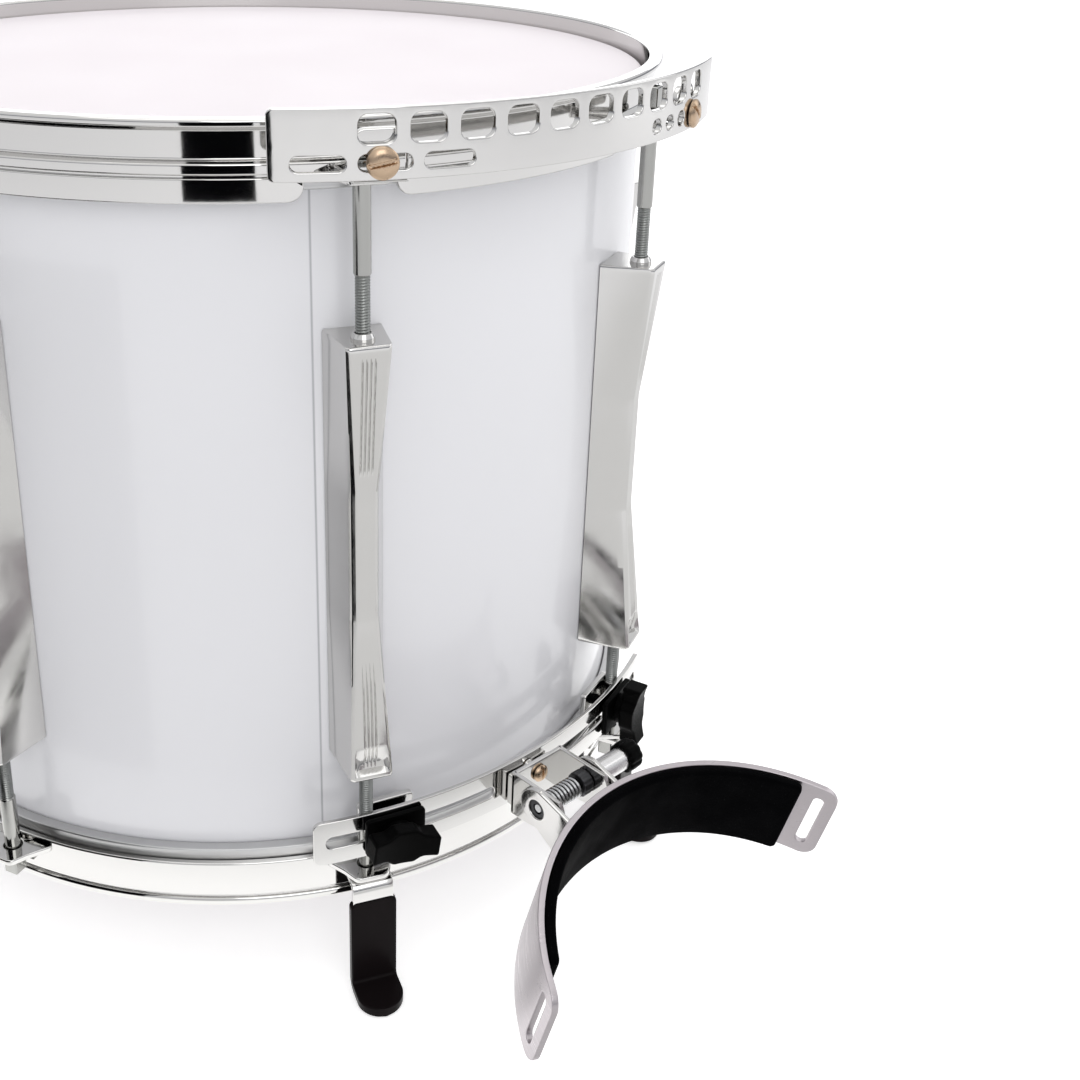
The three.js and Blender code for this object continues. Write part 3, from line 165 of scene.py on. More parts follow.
REST_BACK = WEB_OUT + CRADLE_WALL + GAP
REST_RADIUS = 93.0
LEG_PLATE_THICKNESS = 2.6
LEG_PLATE_HALF_HEIGHT = 19.5
LEG_PLATE_END, LEG_PLATE_SLOT_ANGLE, PAD_END = 67.2, 62.6, 57  # degrees either side
PAD_HALF_HEIGHT = 19.3
PAD_THICKNESS = 4.0
STRAINER_PIVOT = BOTTOM_RIM + 98
STRAINER_THICKNESS = 13
BUTT_THICKNESS = 10
SNARE_COUNT, SNARE_SPACING, SNARE_TURNS = 12, 3.4, 150
SNARE_RADIUS, SNARE_WIRE = 0.5, 0.2


# Colours and nodes


def linear(code):
    """A colour written as sRGB hex, turned to linear."""
    shares = [int(code[place : place + 2], 16) / 255 for place in (1, 3, 5)]
    made = [share / 12.92 if share <= 0.04045 else ((share + 0.055) / 1.055) ** 2.4 for share in shares]
    return (*made, 1.0)


def add_node(tree, kind, inputs=None, **settings):
    """Adds a node and sets its properties. Each input gets a value, or a link from a socket or from the first
    output of another node."""
    made = tree.nodes.new(kind)
    for name, value in settings.items():
        setattr(made, name, value)
    for name, value in (inputs or {}).items():
        if isinstance(value, bpy.types.Node):
            value = value.outputs[0]
        if isinstance(value, bpy.types.NodeSocket):
            tree.links.new(value, made.inputs[name])
        else:
            made.inputs[name].default_value = value
    return made


def blank_material(name):
    """A new material with an empty node tree, and that tree."""
    material = bpy.data.materials.new(name)
    material.use_nodes = True
    material.node_tree.nodes.clear()
    return material, material.node_tree


def per_length(millimetres):
    """The scale of a texture whose features are that long."""
    return 1 / (millimetres * MM)


# Surfaces: each is (points, faces), with points as an (n, 3) array in millimetres


def grid_faces(rows, columns, closed_rows=False, closed_columns=True):
    """Quads between neighbours of a grid of rows and columns, numbered row by row."""
    row = np.arange(rows if closed_rows else rows - 1)[:, None]
    column = np.arange(columns if closed_columns else columns - 1)[None, :]
    here = row * columns + column
    across = row * columns + (column + 1) % columns
    down = (row + 1) % rows * columns + column
    corner = (row + 1) % rows * columns + (column + 1) % columns
    return np.stack([here, across, corner, down], -1).reshape(-1, 4)


def combined(*surfaces):
    """Several surfaces as one, each keeping its own points."""
    points, faces, start = [], [], 0
    for surface_points, surface_faces in surfaces:
        points.append(surface_points)
        faces.extend([[corner + start for corner in face] for face in surface_faces])
        start += len(surface_points)
    return np.concatenate(points), faces


def carried(sections, closed=False):
    """Closed outlines one after another along a path, joined by quads; an open path ends in flat caps.
    sections[i, j] is point j of outline i."""
    rows, columns = sections.shape[:2]
    faces = grid_faces(rows, columns, closed_rows=closed).tolist()
    if not closed:
        faces.append(list(range(columns))[::-1])
        faces.append(list(range((rows - 1) * columns, rows * columns)))
    return sections.reshape(-1, 3), faces


def ring(profile, angles=None, steps=256):
    """A closed profile of (radius, height) turned about Z: x = r sin a, y = -r cos a, z = h."""
    turn = np.linspace(0, TURN, steps, endpoint=False) if angles is None else angles
    radius, height = np.asarray(profile, float).T
    sections = np.stack(
        [np.outer(np.sin(turn), radius), -np.outer(np.cos(turn), radius), np.tile(height, (len(turn), 1))], -1
    )
    return carried(sections, closed=True)


def turned(profile, steps=48):
    """A solid of revolution about Z. Its profile runs from one end to the other, and a first or last radius
    of zero becomes a pole where triangles meet."""
    profile = np.asarray(profile, float)
    turn = np.linspace(0, TURN, steps, endpoint=False)
    start_pole, end_pole = profile[0, 0] == 0, profile[-1, 0] == 0
    rows = profile[int(start_pole) : len(profile) - int(end_pole)]
    radius, height = rows[:, :1], rows[:, 1:]
    circles = [radius * np.cos(turn), radius * np.sin(turn), np.tile(height, (1, steps))]
    points, faces = carried(np.stack(circles, -1))
    start_cap, end_cap = faces[-2], faces[-1]
    faces = faces[:-2]
    for cap, pole, level in ((start_cap, start_pole, profile[0, 1]), (end_cap, end_pole, profile[-1, 1])):
        if pole:
            tip = len(points)
            points = np.vstack([points, [0, 0, level]])
            faces += [[here, there, tip] for here, there in zip(cap, np.roll(cap, -1).tolist())]
        else:
            faces.append(cap)
    return points, faces


def uneven(radius, turn, level):
    """A surface about Z whose radius changes with the angle too: x = r cos a, y = r sin a, z = level. radius
    has a row for each level and a column for each angle."""
    level = np.broadcast_to(np.asarray(level)[:, None], radius.shape)
    return carried(np.stack([radius * np.cos(turn), radius * np.sin(turn), level], -1))


def quarter_round(share):
    """Height of a quarter circle at a share of its width: the root of 1 - (1 - share) squared."""
    return np.sqrt(np.clip(1 - (1 - np.clip(share, 0, 1)) ** 2, 0, 1))


def tube(path, radius, up, sides=12):
    """A round section carried along a path. At each point the circle stands square to the path's direction,
    and starts from the side that the array up gives there."""
    path = np.asarray(path, float)
    ahead = np.gradient(path, axis=0)
    ahead /= np.linalg.norm(ahead, axis=1, keepdims=True)
    first = up - ahead * np.sum(up * ahead, axis=1, keepdims=True)
    first /= np.linalg.norm(first, axis=1, keepdims=True)
    second = np.cross(ahead, first)
    turn = np.linspace(0, TURN, sides, endpoint=False)
    radius = np.broadcast_to(radius, len(path))[:, None, None]
    around = np.cos(turn)[None, :, None] * first[:, None] + np.sin(turn)[None, :, None] * second[:, None]
    return carried(path[:, None] + radius * around)


# Outlines: each is (points, normals), counter-clockwise, with normals that point away from the outline


def rounded(corners, radii, steps=6):
    """A polygon whose corners are arcs that touch both sides. The normals point out of the arcs' centres."""
    corners = np.asarray(corners, float)
    radii = np.broadcast_to(np.asarray(radii, float), len(corners))[:, None]
    before = np.roll(corners, 1, 0) - corners
    after = np.roll(corners, -1, 0) - corners
    before /= np.linalg.norm(before, axis=1, keepdims=True)
    after /= np.linalg.norm(after, axis=1, keepdims=True)
    half = np.arccos(np.clip(np.sum(before * after, axis=1, keepdims=True), -1, 1)) / 2
    middle = before + after
    middle /= np.linalg.norm(middle, axis=1, keepdims=True)
    centre = corners + middle * radii / np.sin(half)
    start = corners + before * radii / np.tan(half) - centre
    end = corners + after * radii / np.tan(half) - centre
    whole = math.pi - 2 * half
    share = np.linspace(0, 1, steps)[None, :, None]
    whole, start, end = whole[:, None], start[:, None], end[:, None]
    spoke = (np.sin((1 - share) * whole) * start + np.sin(share * whole) * end) / np.sin(whole)
    sign = np.sign(before[:, 1] * after[:, 0] - before[:, 0] * after[:, 1])[:, None, None]
    points = (centre[:, None] + spoke).reshape(-1, 2)
    return points, (spoke / radii[:, None] * sign).reshape(-1, 2)


def oblong(low, high, radii, steps=6):
    """A rectangle with rounded corners, from its lowest to its highest corner."""
    (left, bottom), (right, top) = low, high
    return rounded([(left, bottom), (right, bottom), (right, top), (left, top)], radii, steps)


def rectangle(width, height, radius, across=0.0, up=0.0, steps=6):
    """A rectangle with rounded corners about a middle."""
    x, y = width / 2, height / 2
    radius = min(radius, x - 0.01, y - 0.01)
    return oblong((across - x, up - y), (across + x, up + y), radius, steps)


def circle(radius, across=0.0, up=0.0, steps=32):
    """A round outline."""
    turn = np.linspace(0, TURN, steps, endpoint=False)
    normals = np.stack([np.cos(turn), np.sin(turn)], 1)
    return np.array([across, up]) + radius * normals, normals


def free_outline(points):
    """A closed curve through points that lie close together, with normals square to it."""
    points = np.asarray(points, float)
    along = np.roll(points, -1, 0) - np.roll(points, 1, 0)
    along /= np.linalg.norm(along, axis=1, keepdims=True)
    return points, np.stack([along[:, 1], -along[:, 0]], 1)


def as_hole(outline):
    """The same curve as the edge of a hole: it runs the other way, and its normals point into the hole."""
    points, normals = outline
    return points[::-1], -normals[::-1]


def dense(outline, spacing):
    """More points along the long sides of an outline, so that no step is longer than spacing."""
    points, normals = outline
    following, turning = np.roll(points, -1, 0), np.roll(normals, -1, 0)
    counts = np.maximum(1, np.ceil(np.linalg.norm(following - points, axis=1) / spacing).astype(int))
    index = np.repeat(np.arange(len(points)), counts)
    share = (np.arange(counts.sum()) - np.repeat(np.cumsum(counts) - counts, counts)) / counts[index]
    share = share[:, None]
    points = points[index] * (1 - share) + following[index] * share
    return points, normals[index] * (1 - share) + turning[index] * share


def inside(points, loops):
    """Whether each point lies inside an odd number of closed loops."""
    odd = np.zeros(len(points), bool)
    for loop in loops:
        start, end = loop, np.roll(loop, -1, 0)
        straddles = (start[None, :, 1] > points[:, None, 1]) != (end[None, :, 1] > points[:, None, 1])
        rise = np.where(end[:, 1] == start[:, 1], 1e-12, end[:, 1] - start[:, 1])
        crossing = start[:, 0] + (points[:, 1:2] - start[:, 1]) / rise * (end[:, 0] - start[:, 0])
        odd ^= (straddles & (points[:, 0:1] < crossing)).sum(1) % 2 == 1
    return odd


def plate(outer, holes, thickness, edge, place, spacing=None, edge_steps=4):
    """A sheet with holes, whose edges are quarter rounds of radius edge. In the sheet's own terms a point is
    (u, v, w), with w through its thickness, and place turns these three arrays to x, y and z. Every loop
    moves in along its normals by edge (1 - sin t) while w falls by edge (1 - cos t), for t from 0 to 90
    degrees; both faces are the same triangles over the innermost loops."""
    loops = [outer, *[as_hole(hole) for hole in holes]]
    if spacing:
        loops = [dense(loop, spacing) for loop in loops]
    rise = np.linspace(0, math.pi / 2, edge_steps)
    inset = edge * (1 - np.sin(rise))
    level = thickness / 2 - edge * (1 - np.cos(rise))
    inset, level = np.concatenate([inset, inset[::-1]]), np.concatenate([level, -level[::-1]])
    starts, walls, faces, rims, count = [], [], [], [], 0
    for points, normals in loops:
        rows = points[None] - inset[:, None, None] * normals[None]
        levels = np.broadcast_to(level[:, None, None], (*rows.shape[:2], 1))
        walls.append(np.concatenate([rows, levels], 2).reshape(-1, 3))
        quads = grid_faces(len(inset), len(points))[:, [0, 3, 2, 1]]
        faces += (quads + count).tolist()
        rims.append(rows[0])
        starts.append((count, count + (len(inset) - 1) * len(points)))
        count += len(inset) * len(points)
    rim = np.concatenate(rims)
    inner = np.zeros((0, 2))
    if spacing:
        low, high = rim.min(0), rim.max(0)
        across = np.linspace(low[0], high[0], max(2, int((high[0] - low[0]) / spacing)))
        up = np.linspace(low[1], high[1], max(2, int((high[1] - low[1]) / spacing)))
        inner = np.stack(np.meshgrid(across, up), -1).reshape(-1, 2)
        inner = inner[inside(inner, rims)]
        nearest = np.min(np.linalg.norm(inner[:, None] - rim[None], axis=2), axis=1)
        inner = inner[nearest > 0.45 * spacing]
    flat = np.concatenate([rim, inner])
    ends = np.cumsum([len(loop) for loop in rims])
    following = [np.roll(np.arange(end - len(loop), end), -1) for end, loop in zip(ends, rims)]
    following = np.concatenate(following)
    edges = np.stack([np.arange(len(rim)), following], 1)
    made = delaunay_2d_cdt(flat.tolist(), edges.tolist(), [], 0, 1e-7)
    source = np.array([origins[0] if origins else -1 for origins in made[3]])
    triangles = source[np.array([face for face in made[2] if len(face) == 3])]
    triangles = triangles[(triangles >= 0).all(1)]
    triangles = triangles[inside(flat[triangles].mean(1), rims)]
    origin, first, second = flat[triangles].transpose(1, 0, 2)
    first, second = first - origin, second - origin
    area = first[:, 0] * second[:, 1] - first[:, 1] * second[:, 0]
    triangles = np.where((area > 0)[:, None], triangles, triangles[:, ::-1])[np.abs(area) > 1e-9]
    front = np.concatenate([np.arange(start, start + len(loop)) for (start, _), loop in zip(starts, rims)])
    back = np.concatenate([np.arange(end, end + len(loop)) for (_, end), loop in zip(starts, rims)])
    front = np.concatenate([front, count + np.arange(len(inner))])
    back = np.concatenate([back, count + len(inner) + np.arange(len(inner))])
    faces += front[triangles].tolist() + back[triangles[:, ::-1]].tolist()
    sides = [np.column_stack([inner, np.full(len(inner), side * thickness / 2)]) for side in (1, -1)]
    u, v, w = np.concatenate([*walls, *sides]).T
    return np.stack(place(u, v, w), 1), faces


# Places


def level_sheet(bottom, thickness):
    """Drawn from above: u is x, v is y, and w is upwards from a level."""
    return lambda u, v, w: (u, v, bottom + thickness / 2 + w)


def upright_sheet(middle_out):
    """Drawn from the front: u is x, v is z, and w is outwards along -Y from a distance."""
    return lambda u, v, w: (u, -(middle_out + w), v)


def side_sheet(middle_across):
    """Drawn from the side: u is outwards along -Y, v is z, and w is along -X from a place."""
    return lambda u, v, w: (middle_across - w, -u, v)


def bent_sheet(radius, offset):
    """Bent to an arc about (0, -offset): u is the length along the arc, v is z, and w is outwards."""

    def place(u, v, w):
        turn = u / radius
        return (radius + w) * np.sin(turn), -(radius + w) * np.cos(turn) - offset, v

    return place


def wheeled(first, second, angle):
    """Two coordinates turned by an angle in degrees, from the first one's axis towards the second one's."""
    turn = math.radians(angle)
    return first * math.cos(turn) - second * math.sin(turn), first * math.sin(turn) + second * math.cos(turn)


def about_z(surface, angle, offset=0.0):
    """Turned about the upright axis through (0, -offset), from the -Y side towards +X."""
    points, faces = surface
    x, y = wheeled(points[:, 0], points[:, 1] + offset, angle)
    return np.stack([x, y - offset, points[:, 2]], 1), faces


def tilted(surface):
    """Turned about the axle by the leg rest's tilt."""
    points, faces = surface
    y, z = wheeled(points[:, 1] + AXLE_OUT, points[:, 2] - AXLE_LEVEL, REST_TILT)
    return np.stack([points[:, 0], y - AXLE_OUT, z + AXLE_LEVEL], 1), faces


def pointing(surface, direction, place):
    """A turned solid with its +Z along a direction, and its foot at a place."""
    points, faces = surface
    turn = np.array(Vector((0, 0, 1)).rotation_difference(Vector(direction)).to_matrix())
    return points @ turn.T + np.asarray(place, float), faces


def faced(surface, angle, radius, offset, level):
    """A surface drawn about Z and stood up, so that its +Z points out of an arc about (0, -offset), its +X
    runs along the arc and its +Y upwards, at an angle, a distance and a level."""
    points, faces = surface
    x, y, z = points.T
    return about_z((np.stack([x, -(radius + offset + z), level + y], 1), faces), angle, offset)


def make_piece(name, surfaces, material, body, replaces, sharp=38, second=None):
    """Puts surfaces into one mesh, with faces outwards and normals weighted by area, and lets it ride.
    material names its finish. second is a second finish and how many of the first surfaces wear it."""
    points, faces = combined(*surfaces)
    mesh = bpy.data.meshes.new(name)
    mesh.from_pydata((points * MM).tolist(), [], faces)
    working = bmesh.new()
    working.from_mesh(mesh)
    bmesh.ops.recalc_face_normals(working, faces=working.faces)
    working.to_mesh(mesh)
    working.free()
    mesh.materials.append(finish(material))
    if second:
        mesh.materials.append(finish(second[0]))
        dressed = sum(len(surface[1]) for surface in surfaces[: second[1]])
        mesh.polygons.foreach_set("material_index", (np.arange(len(faces)) < dressed).astype(np.int32))
    piece = bpy.data.objects.new(name, mesh)
    bpy.context.scene.collection.objects.link(piece)
    mesh.shade_smooth()
    mesh.set_sharp_from_angle(angle=math.radians(sharp))
    weighted = piece.modifiers.new("Even shading", "WEIGHTED_NORMAL")
    weighted.keep_sharp = True
    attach(piece, body)
    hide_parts(*replaces)
    return piece


# Finishes


def bright_plate(name, colour, roughness, wave=45.0, depth=0.2):
    """Bright metal, plated, turned or polished: a mirror, clear or dull as its process left it. Its
    reflections waver a little from hand polishing, and fine rubs dull it in patches."""
    material, tree = blank_material(name)
    place = add_node(tree, "ShaderNodeTexCoord").outputs["Object"]
    waver = add_node(tree, "ShaderNodeTexNoise", {"Vector": place, "Scale": per_length(wave), "Detail": 1.0})
    rubs = add_node(tree, "ShaderNodeTexNoise", {"Vector": place, "Scale": per_length(9), "Detail": 5.0})
    spread = {"From Min": 0.35, "From Max": 0.75, "To Min": roughness, "To Max": roughness * 1.8}
    dull = add_node(tree, "ShaderNodeMapRange", {"Value": rubs, **spread})
    bump = add_node(tree, "ShaderNodeBump", {"Height": waver, "Strength": 0.35, "Distance": depth * MM})
    look = {"Base Color": colour, "Metallic": 1.0, "Roughness": dull, "Normal": bump}
    shader = add_node(tree, "ShaderNodeBsdfPrincipled", look)
    add_node(tree, "ShaderNodeOutputMaterial", {"Surface": shader})
    return material


def gloss_wrap(name, colour, seam_colour, seam_angle, seam_width, ripple):
    """White PVC wrap glued over a birch shell: clear gloss over an even white, with the wood's slow ripple in
    its reflections and a thin grey line where the wrap's two ends meet."""
    material, tree = blank_material(name)
    place = add_node(tree, "ShaderNodeTexCoord").outputs["Object"]
    parts = add_node(tree, "ShaderNodeSeparateXYZ", {"Vector": place}).outputs
    front = add_node(tree, "ShaderNodeMath", {0: parts["Y"], 1: -1.0}, operation="MULTIPLY")
    turn = add_node(tree, "ShaderNodeMath", {0: parts["X"], 1: front}, operation="ARCTAN2")
    away = add_node(tree, "ShaderNodeMath", {0: turn, 1: seam_angle}, operation="SUBTRACT")
    off = add_node(tree, "ShaderNodeMath", {0: away}, operation="ABSOLUTE")
    half = seam_width / 2 / (SHELL_RADIUS * MM)
    spread = {"From Min": half * 0.3, "From Max": half * 1.2, "To Min": 1.0, "To Max": 0.0}
    line = add_node(tree, "ShaderNodeMapRange", {"Value": off, **spread})
    tone = add_node(tree, "ShaderNodeMix", {"Factor": line, "A": colour, "B": seam_colour}, data_type="RGBA")
    wood = add_node(tree, "ShaderNodeMapping", {"Vector": place, "Scale": (1.0, 1.0, 0.25)})
    swell = add_node(tree, "ShaderNodeTexNoise", {"Vector": wood, "Scale": per_length(ripple), "Detail": 2.0})
    bump = add_node(tree, "ShaderNodeBump", {"Height": swell, "Strength": 0.25, "Distance": 0.3 * MM})
    look = {"Base Color": tone.outputs[2], "Roughness": 0.3, "IOR": 1.5, "Normal": bump}
    gloss = {"Coat Weight": 0.6, "Coat Roughness": 0.06}
    shader = add_node(tree, "ShaderNodeBsdfPrincipled", {**look, **gloss})
    add_node(tree, "ShaderNodeOutputMaterial", {"Surface": shader})
    return material


def coated_film(name, colour):
    """Polyester film with a sprayed white coating: matt, with a fine even tooth that sticks wear smooth."""
    material, tree = blank_material(name)
    place = add_node(tree, "ShaderNodeTexCoord").outputs["Object"]
    grit = add_node(tree, "ShaderNodeTexNoise", {"Vector": place, "Scale": per_length(0.9), "Detail": 3.0})
    cloud = add_node(tree, "ShaderNodeTexNoise", {"Vector": place, "Scale": per_length(60), "Detail": 2.0})
    spread = {"From Min": 0.3, "From Max": 0.7, "To Min": 0.42, "To Max": 0.55}
    worn = add_node(tree, "ShaderNodeMapRange", {"Value": cloud, **spread})
    bump = add_node(tree, "ShaderNodeBump", {"Height": grit, "Strength": 0.3, "Distance": 0.15 * MM})
    look = {"Base Color": colour, "Roughness": worn, "Normal": bump}
    shader = add_node(tree, "ShaderNodeBsdfPrincipled", look)
    add_node(tree, "ShaderNodeOutputMaterial", {"Surface": shader})
    return material


def moulded_plastic(name, colour, roughness):
    """Nylon injection-moulded in a spark-eroded mould: soft shine broken by a grain of 0.7 millimetres."""
    material, tree = blank_material(name)
    place = add_node(tree, "ShaderNodeTexCoord").outputs["Object"]
    grain = add_node(tree, "ShaderNodeTexNoise", {"Vector": place, "Scale": per_length(0.7), "Detail": 2.0})
    spread = {"From Min": 0.3, "From Max": 0.7, "To Min": roughness * 0.8, "To Max": roughness * 1.25}
    shine = add_node(tree, "ShaderNodeMapRange", {"Value": grain, **spread})
    bump = add_node(tree, "ShaderNodeBump", {"Height": grain, "Strength": 0.2, "Distance": 0.05 * MM})
    look = {"Base Color": colour, "Roughness": shine, "Specular IOR Level": 0.035, "Normal": bump}
    shader = add_node(tree, "ShaderNodeBsdfPrincipled", look)
    add_node(tree, "ShaderNodeOutputMaterial", {"Surface": shader})
    return material


def dipped_vinyl(name, colour):
    """Plastisol that a hot strap was dipped in: soft black with slow sags and runs."""
    material, tree = blank_material(name)
    place = add_node(tree, "ShaderNodeTexCoord").outputs["Object"]
    runs = add_node(tree, "ShaderNodeMapping", {"Vector": place, "Scale": (1.0, 1.0, 0.4)})
    sag = add_node(tree, "ShaderNodeTexNoise", {"Vector": runs, "Scale": per_length(8), "Detail": 1.0})
    bump = add_node(tree, "ShaderNodeBump", {"Height": sag, "Strength": 0.5, "Distance": 0.4 * MM})
    look = {"Base Color": colour, "Roughness": 0.3, "IOR": 1.53, "Specular IOR Level": 0.035, "Normal": bump}
    shader = add_node(tree, "ShaderNodeBsdfPrincipled", look)
    add_node(tree, "ShaderNodeOutputMaterial", {"Surface": shader})
    return material


def brushed_metal(name, colour, roughness, grain_length, grain_width):
    """Metal brushed along its length with an abrasive belt: a satin shine drawn out in fine lines."""
    material, tree = blank_material(name)
    place = add_node(tree, "ShaderNodeTexCoord").outputs["Object"]
    long, fine = per_length(grain_length), per_length(grain_width)
    lines = add_node(tree, "ShaderNodeMapping", {"Vector": place, "Scale": (long, long, fine)})
    brush = add_node(tree, "ShaderNodeTexNoise", {"Vector": lines, "Scale": 1.0, "Detail": 3.0})
    spread = {"From Min": 0.3, "From Max": 0.7, "To Min": roughness * 0.75, "To Max": roughness * 1.3}
    shine = add_node(tree, "ShaderNodeMapRange", {"Value": brush, **spread})
    bump = add_node(tree, "ShaderNodeBump", {"Height": brush, "Strength": 0.12, "Distance": 0.05 * MM})
    look = {"Base Color": colour, "Metallic": 1.0, "Roughness": shine, "Normal": bump}
    shader = add_node(tree, "ShaderNodeBsdfPrincipled", look)
    add_node(tree, "ShaderNodeOutputMaterial", {"Surface": shader})
    return material


def foam_cloth(name, colour):
    """Closed-cell foam faced with black nylon jersey: no shine, a fine knit and a faint velvet edge."""
    material, tree = blank_material(name)
    place = add_node(tree, "ShaderNodeTexCoord").outputs["Object"]
    knit = add_node(tree, "ShaderNodeTexVoronoi", {"Vector": place, "Scale": per_length(0.8)})
    nap = add_node(tree, "ShaderNodeTexNoise", {"Vector": place, "Scale": per_length(14), "Detail": 4.0})
    spread = {"From Min": 0.3, "From Max": 0.7, "To Min": 0.75, "To Max": 0.98}
    shade = add_node(tree, "ShaderNodeMapRange", {"Value": nap, **spread})
    bump = add_node(tree, "ShaderNodeBump", {"Height": knit, "Strength": 0.6, "Distance": 0.25 * MM})
    look = {"Base Color": colour, "Roughness": shade, "Specular IOR Level": 0.03, "Normal": bump}
    velvet = {"Sheen Weight": 0.004, "Sheen Roughness": 0.4}
    shader = add_node(tree, "ShaderNodeBsdfPrincipled", {**look, **velvet})
    add_node(tree, "ShaderNodeOutputMaterial", {"Surface": shader})
    return material


# Settings that a user would change


def colour_setting(name, description, code):
    """A colour whose default is written as sRGB hex."""
    return bpy.props.FloatVectorProperty(
        name=name, description=description, subtype="COLOR", size=4, min=0, max=1, default=linear(code)
    )


def length_setting(name, description, millimetres):
    """A length that is kept in metres."""
    return bpy.props.FloatProperty(
        name=name, description=description, unit="LENGTH", default=millimetres * MM, precision=5
    )


def angle_setting(name, description, degrees):
    """An angle that is kept in radians."""
    return bpy.props.FloatProperty(
        name=name, description=description, unit="ROTATION", default=math.radians(degrees)
    )


def light_setting(name, description, default):
    """The power or strength of a light."""
    return bpy.props.FloatProperty(name=name, description=description, default=default, min=0)


class DrumColours(bpy.types.PropertyGroup):
    """Colours of the finishes."""

    wrap: colour_setting("Wrap", "Colour of the shell's wrap", "#ECECF0")
    seam: colour_setting("Seam", "Colour of the line where the wrap ends", "#B9B9BE")
    film: colour_setting("Drumhead", "Colour of the coated film", "#F6EFF3")
    chrome: colour_setting("Chrome", "Colour of the bright plating", "#CFCECC")
    brass: colour_setting("Brass", "Colour of the rail screws", "#BFA78E")
    black: colour_setting("Black parts", "Colour of knobs and plates", "#030303")
    vinyl: colour_setting("Dipped vinyl", "Colour of the feet's sleeves", "#161213")
    plate: colour_setting("Leg plate", "Colour of the leg rest's aluminium", "#B9B3B6")
    pad: colour_setting("Leg pad", "Colour of the leg rest's pad", "#020203")


class DrumSizes(bpy.types.PropertyGroup):
    """Sizes of the details that the frame leaves open."""

    seam_angle: angle_setting("Seam place", "Where the wrap's ends meet, from the player's side", -27.2)
    seam_width: length_setting("Seam width", "Width of the line between the wrap's ends", 1.0)
    plate_edge: length_setting("Pressed edge", "Radius along the edges of pressed plates", 0.45)
    thread_pitch: length_setting("Thread pitch", "Distance between the turns of a tension rod's thread", 1.06)
    groove_pitch: length_setting("Groove pitch", "Distance between the grooves on a lug's front", 1.5)
    pad_crown: length_setting("Pad crown", "How far the leg pad swells in its middle", 0.8)


class StudioSettings(bpy.types.PropertyGroup):
    """Camera, lamps and floor."""

    camera_place: bpy.props.FloatVectorProperty(
        name="Camera place", description="Where the camera stands", subtype="TRANSLATION",
        default=(-0.35944, -0.53606, 0.0969),
    )
    heading: angle_setting("Heading", "Way the camera looks, from +Y towards +X", 42.293)
    pitch: angle_setting("Pitch", "How far the camera looks down", 22.085)
    roll: angle_setting("Roll", "Turn of the camera about its own view", 1.007)
    lens: bpy.props.FloatProperty(
        name="Lens", description="Focal length in millimetres", default=46.725, min=1
    )
    shift: bpy.props.FloatVectorProperty(
        name="Shift", description="Shift of the lens, as a share of the picture", size=2,
        default=(0.0849, -0.1356),
    )
    key_power: light_setting("Key lamp", "Power of the large front lamp", 11.0)
    fill_power: light_setting("Fill lamp", "Power of the side lamp", 5.0)
    top_power: light_setting("Top lamp", "Power of the overhead lamp", 9.0)
    back_power: light_setting("Back lamp", "Power of the lamp behind the rim", 9.0)
    sky_strength: light_setting("Room light", "Strength of the light from all round", 0.68)
    floor: colour_setting("Floor", "Colour of the studio floor", "#F4F4F4")


def finish(name):
    """The material of that name, made when a piece first wears it."""
    colours, sizes = bpy.context.scene.drum_colours, bpy.context.scene.drum_sizes
    recipes = {
        "Gloss white wrap": (gloss_wrap, colours.wrap, colours.seam, sizes.seam_angle, sizes.seam_width, 35),
        "Coated polyester film": (coated_film, colours.film),
        "Chromed steel": (bright_plate, colours.chrome, 0.07),
        "Chromed hoop": (bright_plate, colours.chrome, 0.05, 60),
        "Chromed casting": (bright_plate, colours.chrome, 0.09, 30, 0.3),
        "Zinc-plated steel": (bright_plate, linear("#B9BABB"), 0.2, 20),
        "Rolled steel thread": (bright_plate, linear("#8F918F"), 0.3, 12),
        "Nickel-plated steel": (bright_plate, linear("#A3A3A0"), 0.12, 25),
        # Blackened steel for the bush and the axle's shank; the same dark finish also paints the shade of the
        # gap round the axle bolt's end
        "Blackened steel": (bright_plate, linear("#4A4A4C"), 0.34, 12),
        "Turned steel": (bright_plate, linear("#DBDADA"), 0.22, 15),
        "Polished brass": (bright_plate, colours.brass, 0.22, 8),
        "Moulded black nylon": (moulded_plastic, colours.black, 0.42),
        "Dipped black vinyl": (dipped_vinyl, colours.vinyl),
        "Satin aluminium": (brushed_metal, colours.plate, 0.34, 25, 0.25),
        "Flesh hoop aluminium": (brushed_metal, linear("#C8C8C8"), 0.4, 30, 0.3),
        "Jersey-faced foam": (foam_cloth, colours.pad),
        "Bright snare wire": (bright_plate, linear("#C4C3C1"), 0.25, 10),
    }
    make, *values = recipes[name]
    return bpy.data.materials.get(name) or make(name, *values)


# Operators


class DRUM_OT_shell(bpy.types.Operator):
    """Builds the wrapped shell with its bearing edges"""

    bl_idname = "snare_drum.shell"
    bl_label = "Shell"

    def execute(self, context):
        near_seam = context.scene.drum_sizes.seam_angle + np.linspace(-1, 1, 13) * 1.2 / SHELL_RADIUS
        angles = np.unique(np.concatenate([np.linspace(-math.pi, math.pi, 288, endpoint=False), near_seam]))
        inner, middle = SHELL_RADIUS - SHELL_WALL, SHELL_RADIUS - SHELL_WALL / 2
        low, high = SHELL_BOTTOM + BEARING_EDGE, SHELL_TOP - BEARING_EDGE
        outer_wall = [(SHELL_RADIUS, low), (SHELL_RADIUS, high)]
        corners = [(inner, low), (middle, SHELL_BOTTOM), *outer_wall, (middle, SHELL_TOP), (inner, high)]
        shell = ring(rounded(corners, 0.8, 5)[0], angles)
        make_piece("wrapped_shell", [shell], "Gloss white wrap", "drum", ["shell"])
        return {"FINISHED"}


